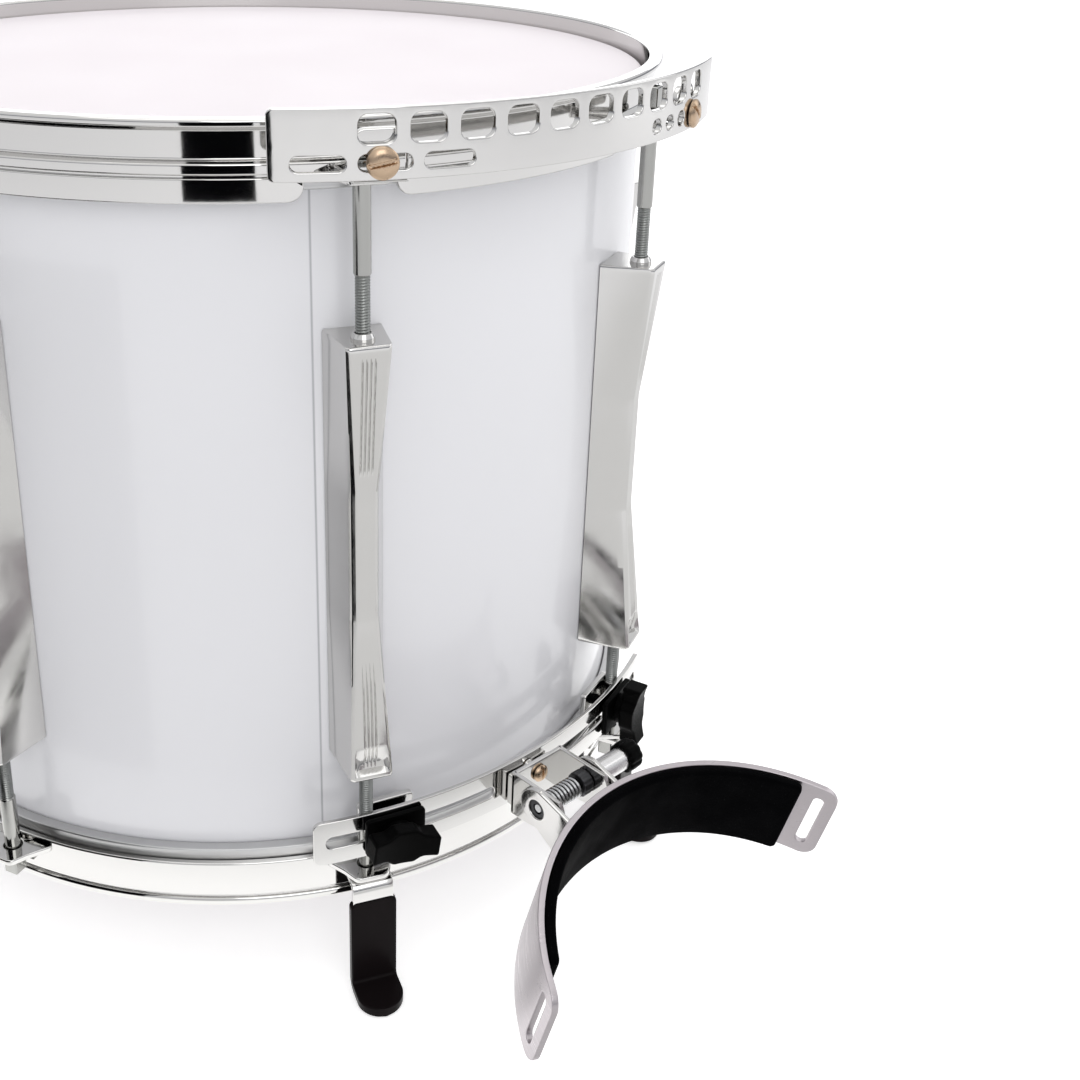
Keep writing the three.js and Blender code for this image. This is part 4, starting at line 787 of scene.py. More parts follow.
def head_surfaces(face, sign):
    """The film with its collar, and the flesh hoop, as two rings about Z. The film is flat to a bend of
    three millimetres and then runs down between shell and hoop."""
    outer = SHELL_RADIUS + 0.9
    bend = np.linspace(0, math.pi / 2, 8)
    top = [(0, 0)] + [(outer - 3 + 3 * math.sin(t), -3 + 3 * math.cos(t)) for t in bend]
    under = [(outer - 3 + 2.5 * math.sin(t), -3 + 2.5 * math.cos(t)) for t in bend[::-1]]
    film = np.array([*top, (outer, -10), (outer - 0.5, -10), *under, (0, -0.5)])
    band, _ = oblong((SHELL_RADIUS + 0.4, -17.5), (SHELL_RADIUS + 5.3, -9.5), 0.7, 5)
    for profile in (film, band):
        profile[:, 1] = face + sign * profile[:, 1]
    return turned(film, 192), ring(band, steps=192)


class DRUM_OT_heads(bpy.types.Operator):
    """Builds both drumheads, each a coated film and its flesh hoop"""

    bl_idname = "snare_drum.heads"
    bl_label = "Drumheads"

    def execute(self, context):
        for name, node, face, sign in (
            ("batter", "batter_head", 0.0, 1),
            ("snare_side", "snare_head", SNARE_FACE, -1),
        ):
            film, band = head_surfaces(face, sign)
            for part, surface, metal, sharp in (
                ("film", film, "Coated polyester film", 60),
                ("flesh_hoop", band, "Flesh hoop aluminium", 38),
            ):
                make_piece(f"{name}_{part}", [surface], metal, "drum", [node], sharp)
        return {"FINISHED"}


def ear(level):
    """An ear that widens into the hoop, with a rod hole, drawn from above at the -Y side."""
    root, edge, tip = HOOP_EDGE - 2.0, HOOP_EDGE, HOOP_EDGE + EAR_REACH
    right = [(6.4, -tip), (10, -(edge + tip) / 2), (EAR_HALF_WIDTH, -edge), (EAR_HALF_WIDTH, -root)]
    corners = [(-6.4, -tip), *right, *[(-x, y) for x, y in right[:0:-1]]]
    outline = rounded(corners, [3.5, 3.5, 5, 3, 0.1, 0.1, 3, 5], 6)
    hole = circle(ROD_HOLE, 0, -ROD_RADIUS)
    return plate(outline, [hole], EAR_THICKNESS, 0.6, level_sheet(level, EAR_THICKNESS))


def skirt(low, high, before, after):
    """One arc of the skirt below the top hoop's bead, bent round the drum between two rods. It starts an
    angle after the first rod and ends an angle before the second, in degrees."""
    middle = (SKIRT_INNER + HOOP_EDGE) / 2
    start, end = (math.radians(place) * middle for place in (after - FIRST_LUG, FIRST_LUG - before))
    outline = oblong((start, low), (end, high), [5.6, 5.6, 0.15, 0.15], 9)
    return plate(outline, [], HOOP_EDGE - SKIRT_INNER, 0.55, bent_sheet(middle, 0), spacing=4.5)


def make_hoop(name, node, corners, radii, ear_top, arcs=()):
    """A hoop whose section has these corners, with eight ears and, on the top hoop, its skirt's arcs."""
    section, _ = rounded(corners, radii, SECTION_STEPS)
    ears = [about_z(ear(ear_top - EAR_THICKNESS), angle) for angle in LUG_ANGLES]
    make_piece(name, [ring(section), *arcs, *ears], "Chromed hoop", "drum", [node])


class DRUM_OT_hoops(bpy.types.Operator):
    """Builds both chromed hoops with their ears"""

    bl_idname = "snare_drum.hoops"
    bl_label = "Hoops"

    def execute(self, context):
        rim, head_seat = TOP_RIM, -9.2
        bead = rim - 13.4
        groove_top = bead - 5.2
        groove_end = groove_top - 1.6
        lip = [(HOOP_INNER, rim), (HOOP_INNER, head_seat), (SKIRT_INNER, head_seat)]
        groove = [(SKIRT_INNER, groove_end), (GROOVE_RADIUS, groove_end), (GROOVE_RADIUS, groove_top)]
        band = [(HOOP_EDGE, groove_top), (HOOP_EDGE, bead - 1.6), (HOOP_OUTER, bead), (HOOP_OUTER, rim - 4.0)]
        corners = [*lip, *groove, *band, (HOOP_EDGE, rim - 2.4), (HOOP_EDGE, rim)]
        radii = [1.3, 0.4, 0.2, 0.2, 0.2, 0.3, 0.7, 1.0, 0.8, 0.8, 1.0, 1.15]
        arc = skirt(groove_end - 8, groove_end + 0.6, 5.6, 4.4)
        arcs = [about_z(arc, angle - FIRST_LUG) for angle in LUG_ANGLES]
        make_hoop("upper_rim_hoop", "top_hoop", corners, radii, EAR_TOP, arcs)
        base = BOTTOM_RIM
        top, head_seat = base + 22.4, base + 18.6
        lip = [(HOOP_INNER, base), (HOOP_EDGE, base), (HOOP_EDGE, base + 4.8)]
        groove = [(GROOVE_RADIUS, base + 4.8), (GROOVE_RADIUS, base + 6.4), (HOOP_EDGE, base + 6.4)]
        wall = [(HOOP_EDGE, top), (SKIRT_INNER, top), (SKIRT_INNER, head_seat), (HOOP_INNER, head_seat)]
        corners = [*lip, *groove, *wall]
        radii = [1.2, 2.6, 1.4, 0.25, 0.25, 0.8, 0.8, 0.6, 0.3, 0.5]
        make_hoop("lower_rim_hoop", "bottom_hoop", corners, radii, LOWER_EAR_TOP)
        return {"FINISHED"}


def lug_surface(groove_pitch):
    """A lug at the -Y side. Width and reach fall in straight lines from each end to the waist and stay level
    along it. Across the front the surface is flat, and t beyond each front corner it drops by (t + the root
    of t squared plus 0.2 squared) / 2, a bevel at 45 degrees with a soft corner. Four grooves run down from
    the top end. Others fade in towards the bottom end and stop in a hollow."""
    waist_start, waist_end = 0.38, 0.667
    ends = np.array([0, 0.1, 0.35, 0.8, 1.5, 2.4]) / LUG_LENGTH
    first, last = ends[-1], 1 - ends[-1]
    spans = ((first, waist_start, 50), (waist_start, waist_end, 12), (waist_end, last, 42))
    share = np.concatenate([ends, *[np.linspace(*span)[1:] for span in spans], 1 - ends[-2::-1]])
    stations = [0, waist_start, waist_end, 1]
    shares = share[:, None]
    half, reach, bevel = (
        np.interp(shares, stations, values)
        for values in ([8.4, 5.3, 5.3, 8.4], [23.5, 16.1, 16.1, 22.4], [1.2, 1.8, 1.8, 1.2])
    )
    level = LUG_BOTTOM + LUG_LENGTH * shares
    from_top, from_bottom = (1 - shares) * LUG_LENGTH, shares * LUG_LENGTH
    edge = np.minimum(shares, 1 - shares) * LUG_LENGTH
    drawn_in = 1.2 * (1 - quarter_round(edge / 1.5))
    face = half - bevel
    flat = np.linspace(-1, 1, 81)[None] * (face - 0.45)
    past = np.array([-0.3, -0.15, 0.0, 0.15, 0.3, 0.5])[None] + face
    right_bevel = np.concatenate([past, face + bevel * 0.7, half], 1)
    place = np.concatenate([-right_bevel[:, ::-1], flat, right_bevel], 1)
    centres = (np.arange(4) - 1.5) * groove_pitch
    groove_width, groove_depth = 0.3, 0.5
    fan = 1 + 0.06 * (1 - from_top / 51)
    upper = np.exp(-(((place[..., None] - centres * fan[..., None]) / groove_width) ** 2)).sum(-1)
    upper = upper * np.clip((from_top - 4.4) / 0.5, 0, 1) * np.clip((51.2 - from_top) / 0.6, 0, 1)
    reeds = np.exp(-(((place[..., None] - centres) / groove_width) ** 2)).sum(-1)
    reeds = reeds * np.clip((62 - from_bottom) / 24, 0, 1) * np.clip((from_bottom - 5) / 3, 0, 1)
    hollow = np.clip((14.5 - from_bottom) / 9, 0, 1) * np.clip((from_bottom - 2.6) / 1.2, 0, 1)
    scoop = 3.0 * hollow * np.clip(1 - (place / 6.9) ** 6, 0, 1)
    beyond = np.abs(place) - face
    drop = (beyond + np.sqrt(beyond**2 + 0.2**2)) / 2
    front = SHELL_RADIUS + reach - drop - groove_depth * (upper + reeds) - scoop - drawn_in
    front_line = np.stack([place, -front, np.broadcast_to(level, place.shape)], -1)
    side = np.linspace(0, 1, 8)[1:]
    base = np.stack([11.25 - 0.6 * drawn_in, np.full(shares.shape, -SHELL_RADIUS - 0.1), level], -1)
    right = front_line[:, -1:] * (1 - side[None, :, None]) + base * side[None, :, None]
    left = right[:, ::-1] * np.array([-1, 1, 1])
    return carried(np.concatenate([front_line, right, left], 1))


def standing(surface, level, up=1):
    """A surface drawn about Z put on the axis of a rod at the -Y side, upwards from a level or downwards."""
    points, faces = surface
    return points * np.array([1, 1, up]) + np.array([0, -ROD_RADIUS, level]), faces


class DRUM_OT_lugs(bpy.types.Operator):
    """Builds the eight long lugs with the collars of the nuts at their ends"""

    bl_idname = "snare_drum.lugs"
    bl_label = "Lugs"

    def execute(self, context):
        body = lug_surface(context.scene.drum_sizes.groove_pitch / MM)
        nut = ring(rounded([(2.9, 0), (4.4, 0), (4.4, 1.35), (3.7, 3.0), (2.9, 3.0)], 0.35, 4)[0], steps=40)
        surfaces = body, standing(nut, LUG_TOP - 0.4), standing(nut, LUG_BOTTOM + 0.4, -1)
        for index, angle in enumerate(LUG_ANGLES, 1):
            parts = [about_z(surface, angle) for surface in surfaces]
            name, node = f"long_lug_{index}", f"lug_{index}"
            make_piece(name, parts, "Chromed casting", "drum", [node], sharp=30)
        return {"FINISHED"}


def threaded(low, high, radius, pitch, sides=24):
    """A screw thread about Z: r = radius - depth |2 frac(z / pitch - a / 2 pi) - 1|, one crest a turn."""
    level = np.linspace(low, high, max(2, int((high - low) / pitch * 6)))
    turn = np.linspace(0, TURN, sides, endpoint=False)
    share = (level[:, None] / pitch - turn / TURN) % 1
    return uneven(radius - 0.42 * np.abs(2 * share - 1), turn, level)


def rod_surfaces(length, pitch):
    """A tension rod from its tip at zero upwards: thread, shank, flange with a rounded edge, square key."""
    thread = threaded(0.0, THREAD_LENGTH, ROD_THREAD, pitch)
    neck = [(ROD_THREAD - 0.5, THREAD_LENGTH - 0.3), (ROD_SHANK - 0.3, THREAD_LENGTH)]
    shank = turned([*neck, (ROD_SHANK, THREAD_LENGTH + 0.5), (ROD_SHANK, length + 0.2)], 32)
    rim = [(4.7, length), (5.0, length + 0.3), (5.0, length + 1.2), (4.6, length + 1.75)]
    flange = turned([(0, length), *rim, (0, length + 1.8)], 40)
    key = plate(rectangle(6.4, 6.4, 0.6), [], 8.5, 0.8, level_sheet(length + 1.8, 8.5))
    return [thread, shank, flange, key]


class DRUM_OT_rods(bpy.types.Operator):
    """Builds the sixteen tension rods"""

    bl_idname = "snare_drum.rods"
    bl_label = "Tension rods"

    def execute(self, context):
        pitch = context.scene.drum_sizes.thread_pitch / MM
        upper_tip, lower_tip = LUG_TOP - 14.2, LUG_BOTTOM + 14.2
        for index, angle in enumerate(LUG_ANGLES, 1):
            carried_strap = STRAP_THICKNESS + GAP if index in (1, 8) else 0
            upper_seat = EAR_TOP + GAP + carried_strap
            lower_seat = LOWER_EAR_TOP - EAR_THICKNESS - GAP - carried_strap
            for place, node, tip, seat, up in (
                ("top", "upper_rod", upper_tip, upper_seat, 1),
                ("bottom", "lower_rod", lower_tip, lower_seat, -1),
            ):
                surfaces = rod_surfaces(abs(seat - tip), pitch)
                parts = [about_z(standing(surface, tip, up), angle) for surface in surfaces]
                make_piece(
                    f"{place}_tension_rod_{index}", parts, "Nickel-plated steel", "drum", [f"{node}_{index}"],
                    second=("Rolled steel thread", 1),
                )
        return {"FINISHED"}


def slotted_screw(head_radius, head_height, shaft_radius, shaft_length):
    """A cheese-head screw along +Z with its head's underside at zero. The slot is a trench in the head's
    dome: its floor stays level where the distance from the slot's line is under its half width."""
    turn = np.linspace(0, TURN, 96, endpoint=False)
    slot_floor = head_height * 0.42
    share = np.linspace(0, 1, 25)[1:, None]
    x, y = head_radius * share * np.cos(turn), head_radius * share * np.sin(turn)
    dome = np.broadcast_to(head_height - 0.55 * head_height * share**4, x.shape)
    trench = 1 / (1 + np.exp((np.abs(x) - 0.62) / 0.05))
    top = np.stack([x, y, dome - trench * (dome - slot_floor)], -1)
    rims = [(head_radius, 0.25), (head_radius - 0.3, 0.0), (shaft_radius, 0.0), (shaft_radius, -shaft_length)]
    radius, level = np.array(rims).T[:, :, None]
    below = np.stack([radius * np.cos(turn), radius * np.sin(turn), np.tile(level, (1, 96))], -1)
    points, faces = carried(np.concatenate([top, below]))
    middle_cap = faces[-2]
    fan = [[here, there, len(points)] for here, there in zip(middle_cap, np.roll(middle_cap, -1).tolist())]
    return np.vstack([points, [0, 0, slot_floor]]), faces[:-2] + [faces[-1]] + fan


def on_arc(angle, radius, offset=0.0, level=0.0):
    """A point on an arc about (0, -offset), and the directions outwards and along the arc there."""
    turn = math.radians(angle)
    outwards = np.array([math.sin(turn), -math.cos(turn), 0.0])
    along = np.array([math.cos(turn), math.sin(turn), 0.0])
    return radius * outwards + np.array([0.0, -offset, level]), outwards, along


class DRUM_OT_carrying_rail(bpy.types.Operator):
    """Builds the perforated carrying rail, its two brackets and their screws"""

    bl_idname = "snare_drum.carrying_rail"
    bl_label = "Carrying rail"

    def execute(self, context):
        edge = context.scene.drum_sizes.plate_edge / MM
        middle = RAIL_RADIUS - RAIL_THICKNESS / 2
        per_degree, shell_degree = math.radians(1) * middle, math.radians(1) * SHELL_RADIUS
        start, end = RAIL_SPAN
        low, high = RAIL_LEVELS
        outline = oblong((start * per_degree, low), (end * per_degree, high), 2.2, 6)
        first_hook, last_hook = start + 34.45 / shell_degree, end - 24.98 / shell_degree
        hook_angles = np.linspace(first_hook, last_hook, HOOK_HOLE_COUNT)
        holes = [rectangle(*HOOK_HOLE, angle * per_degree, HOOK_HOLE_LEVEL, 8) for angle in hook_angles]
        for screw, shifts, width in (
            (RAIL_SCREWS[0], (-20.2, 1.2, 22.7), WIDE_SLOT),
            (RAIL_SCREWS[1], (-31, -21.1, -11.2, 0), SHORT_SLOT),
        ):
            slot = width, RAIL_SLOT_HEIGHT, RAIL_SLOT_ROUND
            places = [(screw + shift / shell_degree) * per_degree for shift in shifts]
            holes += [rectangle(*slot, place, RAIL_SCREW_LEVEL, 8) for place in places]
        rail = plate(outline, holes, RAIL_THICKNESS, edge, bent_sheet(middle, RAIL_OFFSET), spacing=3.2)
        make_piece("hook_rail", [rail], "Chromed steel", "drum", ["carrying_rail"])
        low, half = EAR_TOP + GAP, STRAP_THICKNESS / 2
        outer = RAIL_RADIUS - RAIL_THICKNESS - GAP
        for side, screw, rod, slot_turn in (
            ("left", RAIL_SCREWS[0], -FIRST_LUG, -106),
            ("right", RAIL_SCREWS[1], FIRST_LUG, -112),
        ):
            upright = oblong((-9.5, low), (9.5, 8.0), [0.5, 0.5, 5.0, 5.0], 8)
            screw_hole = circle(SCREW_HOLE, 0, RAIL_SCREW_LEVEL, 20)
            place = upright_sheet(outer + RAIL_OFFSET - half)
            wall = plate(upright, [screw_hole], STRAP_THICKNESS, 0.7, place)
            foot, _, wall_side = on_arc(screw, outer - half, RAIL_OFFSET)
            rod_place, rod_out, rod_side = on_arc(rod, ROD_RADIUS)
            back = rod_place - 4.9 * rod_out
            rod_side, wall_side = 9.5 * rod_side, 9.4 * wall_side
            corners = [back - rod_side, foot - wall_side, foot + wall_side, back + rod_side]
            outline = rounded([corner[:2] for corner in corners], [4.5, 0.4, 0.4, 4.5], 8)
            rod_hole = circle(ROD_HOLE, *rod_place[:2], 28)
            tab = plate(outline, [rod_hole], STRAP_THICKNESS, 0.6, level_sheet(low, STRAP_THICKNESS))
            surfaces = [about_z(wall, screw, RAIL_OFFSET), tab]
            name, node = f"rail_angle_{side}", f"rail_bracket_{side}"
            make_piece(name, surfaces, "Chromed steel", "drum", [node])
            place, outwards, _ = on_arc(screw, RAIL_RADIUS + GAP, RAIL_OFFSET, RAIL_SCREW_LEVEL)
            brass = pointing(about_z(slotted_screw(5.4, 2.6, 2.3, 11.0), slot_turn), outwards, place)
            name, node = f"rail_cheese_head_screw_{side}", f"rail_screw_{side}"
            make_piece(name, [brass], "Polished brass", "drum", [node])
        return {"FINISHED"}


def winged_knob(rest_turn):
    """A knob with two square-cut wings, drawn about +Z from its foot and turned by an angle in degrees. Its
    front falls from the wings' tips to the middle as 2.4 (1 - (x / 14.2) squared), x along the wings."""
    tip = 14.2
    corners = [(tip, -4.6), (tip, 4.6), (7.6, 5.0), (4.4, 7.4), (-4.4, 7.4), (-7.6, 5.0)]
    corners += [(-x, -y) for x, y in corners]
    outline = rounded(corners, [1.2, 1.2, 5, 3, 3, 5] * 2, 7)
    points, faces = plate(outline, [], 9.0, 0.9, level_sheet(3.0, 9.0), spacing=1.4, edge_steps=5)
    dished = 2.4 * np.clip(1 - (points[:, 0] / tip) ** 2, 0, 1)
    points[:, 2] -= dished * np.clip((points[:, 2] - 6.5) / 4.0, 0, 1)
    hub = turned([(0, 0), (6.4, 0), (6.7, 0.3), (6.7, 3.4), (0, 3.4)], 40)
    bolt = turned([(0, -14.0), (2.2, -14.0), (2.5, -13.6), (2.5, 3.2), (0, 3.2)], 28)
    return about_z((points, faces), rest_turn), hub, bolt


class DRUM_OT_lower_rail(bpy.types.Operator):
    """Builds the slotted lower rail with its two clamps"""

    bl_idname = "snare_drum.lower_rail"
    bl_label = "Lower rail and clamps"

    def execute(self, context):
        edge = context.scene.drum_sizes.plate_edge / MM
        middle = LOWER_RAIL_RADIUS - LOWER_RAIL_THICKNESS / 2
        per_degree = math.radians(1) * middle
        reach = LOWER_RAIL_END * per_degree
        low, high = LOWER_RAIL_MIDDLE - LOWER_RAIL_HALF_HEIGHT, LOWER_RAIL_MIDDLE + LOWER_RAIL_HALF_HEIGHT
        outline = oblong((-reach, low), (reach, high), 3.2, 7)
        slot_end = 2.95
        inner, outer = LOWER_SLOT_INNER * per_degree - slot_end, LOWER_SLOT_OUTER * per_degree + slot_end
        slot = outer - inner, LOWER_RAIL_SLOT, LOWER_RAIL_SLOT_ROUND
        middles = -(outer + inner) / 2, (outer + inner) / 2
        slots = [rectangle(*slot, across, LOWER_RAIL_MIDDLE, 9) for across in middles]
        bend = bent_sheet(middle, LOWER_RAIL_OFFSET)
        rail = plate(outline, slots, LOWER_RAIL_THICKNESS, edge, bend, spacing=3.2)
        make_piece("slotted_lower_rail", [rail], "Chromed steel", "drum", ["lower_rail"])
        bolt_hole = circle(SCREW_HOLE, 0, LOWER_RAIL_MIDDLE, 20)
        front_out = CLAMP_FACE + GAP + CLAMP_FRONT_THICKNESS / 2
        grip_out = CLAMP_FACE - LOWER_RAIL_THICKNESS - 2 * ROD_SHANK - 0.1 - CLAMP_BACK_THICKNESS / 2
        front = rectangle(25.5, CLAMP_HEIGHT, 1.6, 0, LOWER_RAIL_MIDDLE), CLAMP_FRONT_THICKNESS, front_out
        back = rectangle(24.0, CLAMP_HEIGHT, 1.5, 0, LOWER_RAIL_MIDDLE), CLAMP_BACK_THICKNESS, grip_out
        for side, sign, rest_turn in (("left", -1, -8), ("right", 1, 90)):
            angle = sign * CLAMP_ANGLE
            for name, node, (outline, thickness, out), metal, slot in (
                ("clamp_front_plate", "clamp_plate", front, "Moulded black nylon", "black_plastic"),
                ("clamp_grip", "clamp_back", back, "Chromed steel", "chrome"),
            ):
                sheet = plate(outline, [bolt_hole], thickness, 0.6, upright_sheet(out))
                sheet = about_z(sheet, angle, LOWER_RAIL_OFFSET)
                make_piece(f"{name}_{side}", [sheet], metal, "drum", [f"{node}_{side}"])
            parts = [
                faced(surface, angle, LOWER_RAIL_RADIUS + 3.0, LOWER_RAIL_OFFSET, LOWER_RAIL_MIDDLE)
                for surface in winged_knob(rest_turn)
            ]
            name, node = f"winged_knob_{side}", f"clamp_knob_{side}"
            make_piece(name, parts, "Moulded black nylon", f"{node}_body", [node])
        return {"FINISHED"}


def bent_line(points, radii, steps=8):
    """The middle line of a bent strap seen from the side, in (outwards, height), with its bends rounded."""
    points = np.asarray(points, float)
    line, _ = rounded(np.vstack([points, points[-1] + (1e-3, 1e-3)]), [1e-4, *radii, 1e-4, 1e-4], steps)
    return line[steps - 1 : steps * (len(points) - 1) + 1]


def strap(line, thickness, width):
    """A strip carried along a line seen from the side; width may be an array, one for each point. Its section
    is an oblong with round corners: the cosine and the sine of an angle, each to the power 0.18 and with its
    own sign."""
    ahead = np.gradient(line, axis=0)
    ahead /= np.linalg.norm(ahead, axis=1, keepdims=True)
    square = np.stack([-ahead[:, 1], ahead[:, 0]])
    turn = np.linspace(0, TURN, 28, endpoint=False) + TURN / 56
    shape = np.stack([np.cos(turn), np.sin(turn)])
    across, through = np.sign(shape) * np.abs(shape) ** 0.18
    half_width = np.broadcast_to(width, len(line))[:, None] / 2
    out, up = line.T[:, :, None] + square[:, :, None] * through * thickness / 2
    return carried(np.stack([half_width * across, -out, up], -1))


class DRUM_OT_feet(bpy.types.Operator):
    """Builds the two feet, each a plated strap dipped in vinyl"""

    bl_idname = "snare_drum.feet"
    bl_label = "Feet"

    def execute(self, context):
        half = STRAP_THICKNESS / 2
        top = LOWER_EAR_TOP - EAR_THICKNESS - GAP
        middle_out, sole = HOOP_EDGE + 15.3 - half, top - FOOT_DROP + half
        flange = [(HOOP_EDGE + GAP, top - half), (middle_out, top - half)]
        bend = bent_line([*flange, (middle_out, sole), (middle_out + half + 9, sole)], [3.0, 3.5])
        metal = strap(bend, STRAP_THICKNESS, STRAP_WIDTH)
        line = bent_line([(middle_out, top - 9), (middle_out, sole), (middle_out + half + 18, sole)], [3.5])
        length = np.concatenate([[0], np.cumsum(np.linalg.norm(np.diff(line, axis=0), axis=1))])
        even = np.linspace(0, length[-1], 90)
        line = np.stack([np.interp(even, length, line[:, axis]) for axis in (0, 1)], 1)
        toe = np.maximum(quarter_round((length[-1] - even) / SLEEVE_HALF_WIDTH), 0.06)
        mouth = 1 - 0.16 * (1 - quarter_round(even / 2.2))
        skin = strap(line, SLEEVE_THICKNESS, 2 * SLEEVE_HALF_WIDTH * toe * mouth)
        for side, angle in (("left", -FIRST_LUG), ("right", FIRST_LUG)):
            for name, node, surface, coat, slot in (
                ("foot_angle", "foot_strap", metal, "Chromed steel", "chrome"),
                ("dipped_sleeve", "foot_sleeve", skin, "Dipped black vinyl", "black_vinyl"),
            ):
                placed = about_z(surface, angle)
                make_piece(f"{name}_{side}", [placed], coat, "drum", [f"{node}_{side}"])
        return {"FINISHED"}


def arc_points(radius, start, end, steps):
    """Points on an arc about the axle from one angle to another, in degrees, seen from the side."""
    turn = np.radians(np.linspace(start, end, steps))
    return np.stack([AXLE_OUT + radius * np.cos(turn), AXLE_LEVEL + radius * np.sin(turn)], 1)


def on_axle(surfaces, across):
    """Surfaces drawn about Z laid on the axle, from a place across the drum towards +X."""
    return [pointing(surface, (1, 0, 0), (across, -AXLE_OUT, AXLE_LEVEL)) for surface in surfaces]


class DRUM_OT_leg_rest_mount(bpy.types.Operator):
    """Builds the leg rest's fixed bracket with its axle, spring and bushing"""

    bl_idname = "snare_drum.leg_rest_mount"
    bl_label = "Leg rest mount"

    def execute(self, context):
        top = BOTTOM_RIM + 48.6
        bottom = top - YOKE_HEIGHT
        middle = (top + bottom) / 2
        nose_end = math.degrees(math.asin((top - AXLE_LEVEL) / NOSE_RADIUS))
        nose = arc_points(NOSE_RADIUS, -69.2, nose_end, 26)
        side_line = np.vstack([(YOKE_OUT, bottom), (AXLE_OUT - 9, bottom), nose, (YOKE_OUT, top)])
        outline = free_outline(dense(free_outline(side_line), 2.0)[0])
        axle_hole = circle(AXLE_HOLE, AXLE_OUT, AXLE_LEVEL, 28)
        across = YOKE_HALF_WIDTH - YOKE_WALL / 2
        sides = side_sheet(-across), side_sheet(across)
        walls = [plate(outline, [axle_hole], YOKE_WALL, 0.5, side) for side in sides]
        screw_hole = circle(2.5, 0, YOKE_SCREW_LEVEL, 24)
        back_wall = plate(
            rectangle(2 * YOKE_HALF_WIDTH, YOKE_HEIGHT, 1.0, 0, middle), [screw_hole], YOKE_WALL, 0.5,
            upright_sheet(YOKE_OUT + YOKE_WALL / 2),
        )
        spacer = plate(
            rectangle(24, 15.0, 1.0, 0, middle - 2.0), [screw_hole], 4.6, 0.4, upright_sheet(CLAMP_FACE + 2.6)
        )
        yoke = [back_wall, spacer, *walls]
        make_piece("leg_rest_yoke", yoke, "Chromed steel", "drum", ["leg_rest_mount"])
        place = (0, -(YOKE_OUT + YOKE_WALL + GAP), YOKE_SCREW_LEVEL)
        screw = pointing(slotted_screw(3.75, 2.2, 2.2, 8.0), (0, -1, 0), place)
        make_piece("yoke_screw", [screw], "Polished brass", "drum", ["leg_rest_mount_screw"])
        shank = turned([(0, -12.0), (2.6, -12.0), (2.6, 39.7), (2.1, 40.2), (0, 40.2)], 36)
        # Painted shade: a thin dark ring round the bolt's end stands for the dark gap there; it wears the
        # blackened finish with the shank
        gap_shade_ring = ring(oblong((2.3, -16.4), (4.05, -15.0), 0.2, 3)[0], steps=40)
        end = turned([(0, -16.0), (1.7, -16.0), (2.0, -15.7), (2.6, -14.5), (2.6, -11.9), (0, -11.9)], 36)
        make_piece(
            "axle_bolt", on_axle([shank, gap_shade_ring, end], 0), "Zinc-plated steel", "drum", ["leg_rest_axle"],
            second=("Blackened steel", 2),
        )
        curls, wire = 9, 0.75
        start, stop = wire + GAP - YOKE_HALF_WIDTH + YOKE_WALL, BUSH_START - wire - GAP
        turn = np.linspace(0, TURN * curls, curls * 28 + 1)
        away = np.stack([np.zeros_like(turn), np.cos(turn), np.sin(turn)], 1)
        path = np.array([0, -AXLE_OUT, AXLE_LEVEL]) + SPRING_RADIUS * away
        path[:, 0] += start + (stop - start) * turn / turn[-1]
        coil = tube(path, SPRING_WIRE, away, 10)
        make_piece("axle_coil", [coil], "Zinc-plated steel", "drum", ["leg_rest_spring"])
        points, faces = ring(oblong((AXLE_HOLE, 0), (BUSH_RADIUS, BUSH_LENGTH), 0.5, 5)[0], steps=96)
        outer = np.hypot(points[:, 0], points[:, 1]) > 4.8
        ribs = 0.5 - 0.5 * np.cos(16 * np.arctan2(points[:, 1], points[:, 0]))
        points[:, :2] *= (1 - 0.05 * ribs * outer)[:, None]
        bush = on_axle([(points, faces)], BUSH_START)
        make_piece("axle_bush", bush, "Blackened steel", "drum", ["leg_rest_bushing"])
        return {"FINISHED"}


def bowed_sheet(radius):
    """Bent to an arc of that radius that opens towards the player: u is the length along the arc, v is z, and
    w is away from the arc's axis. The axis stands at the leg plate's radius beyond the leg rest's back."""

    def place(u, v, w):
        turn = u / radius
        return (radius + w) * np.sin(turn), -REST_BACK - REST_RADIUS + (radius + w) * np.cos(turn), v

    return place


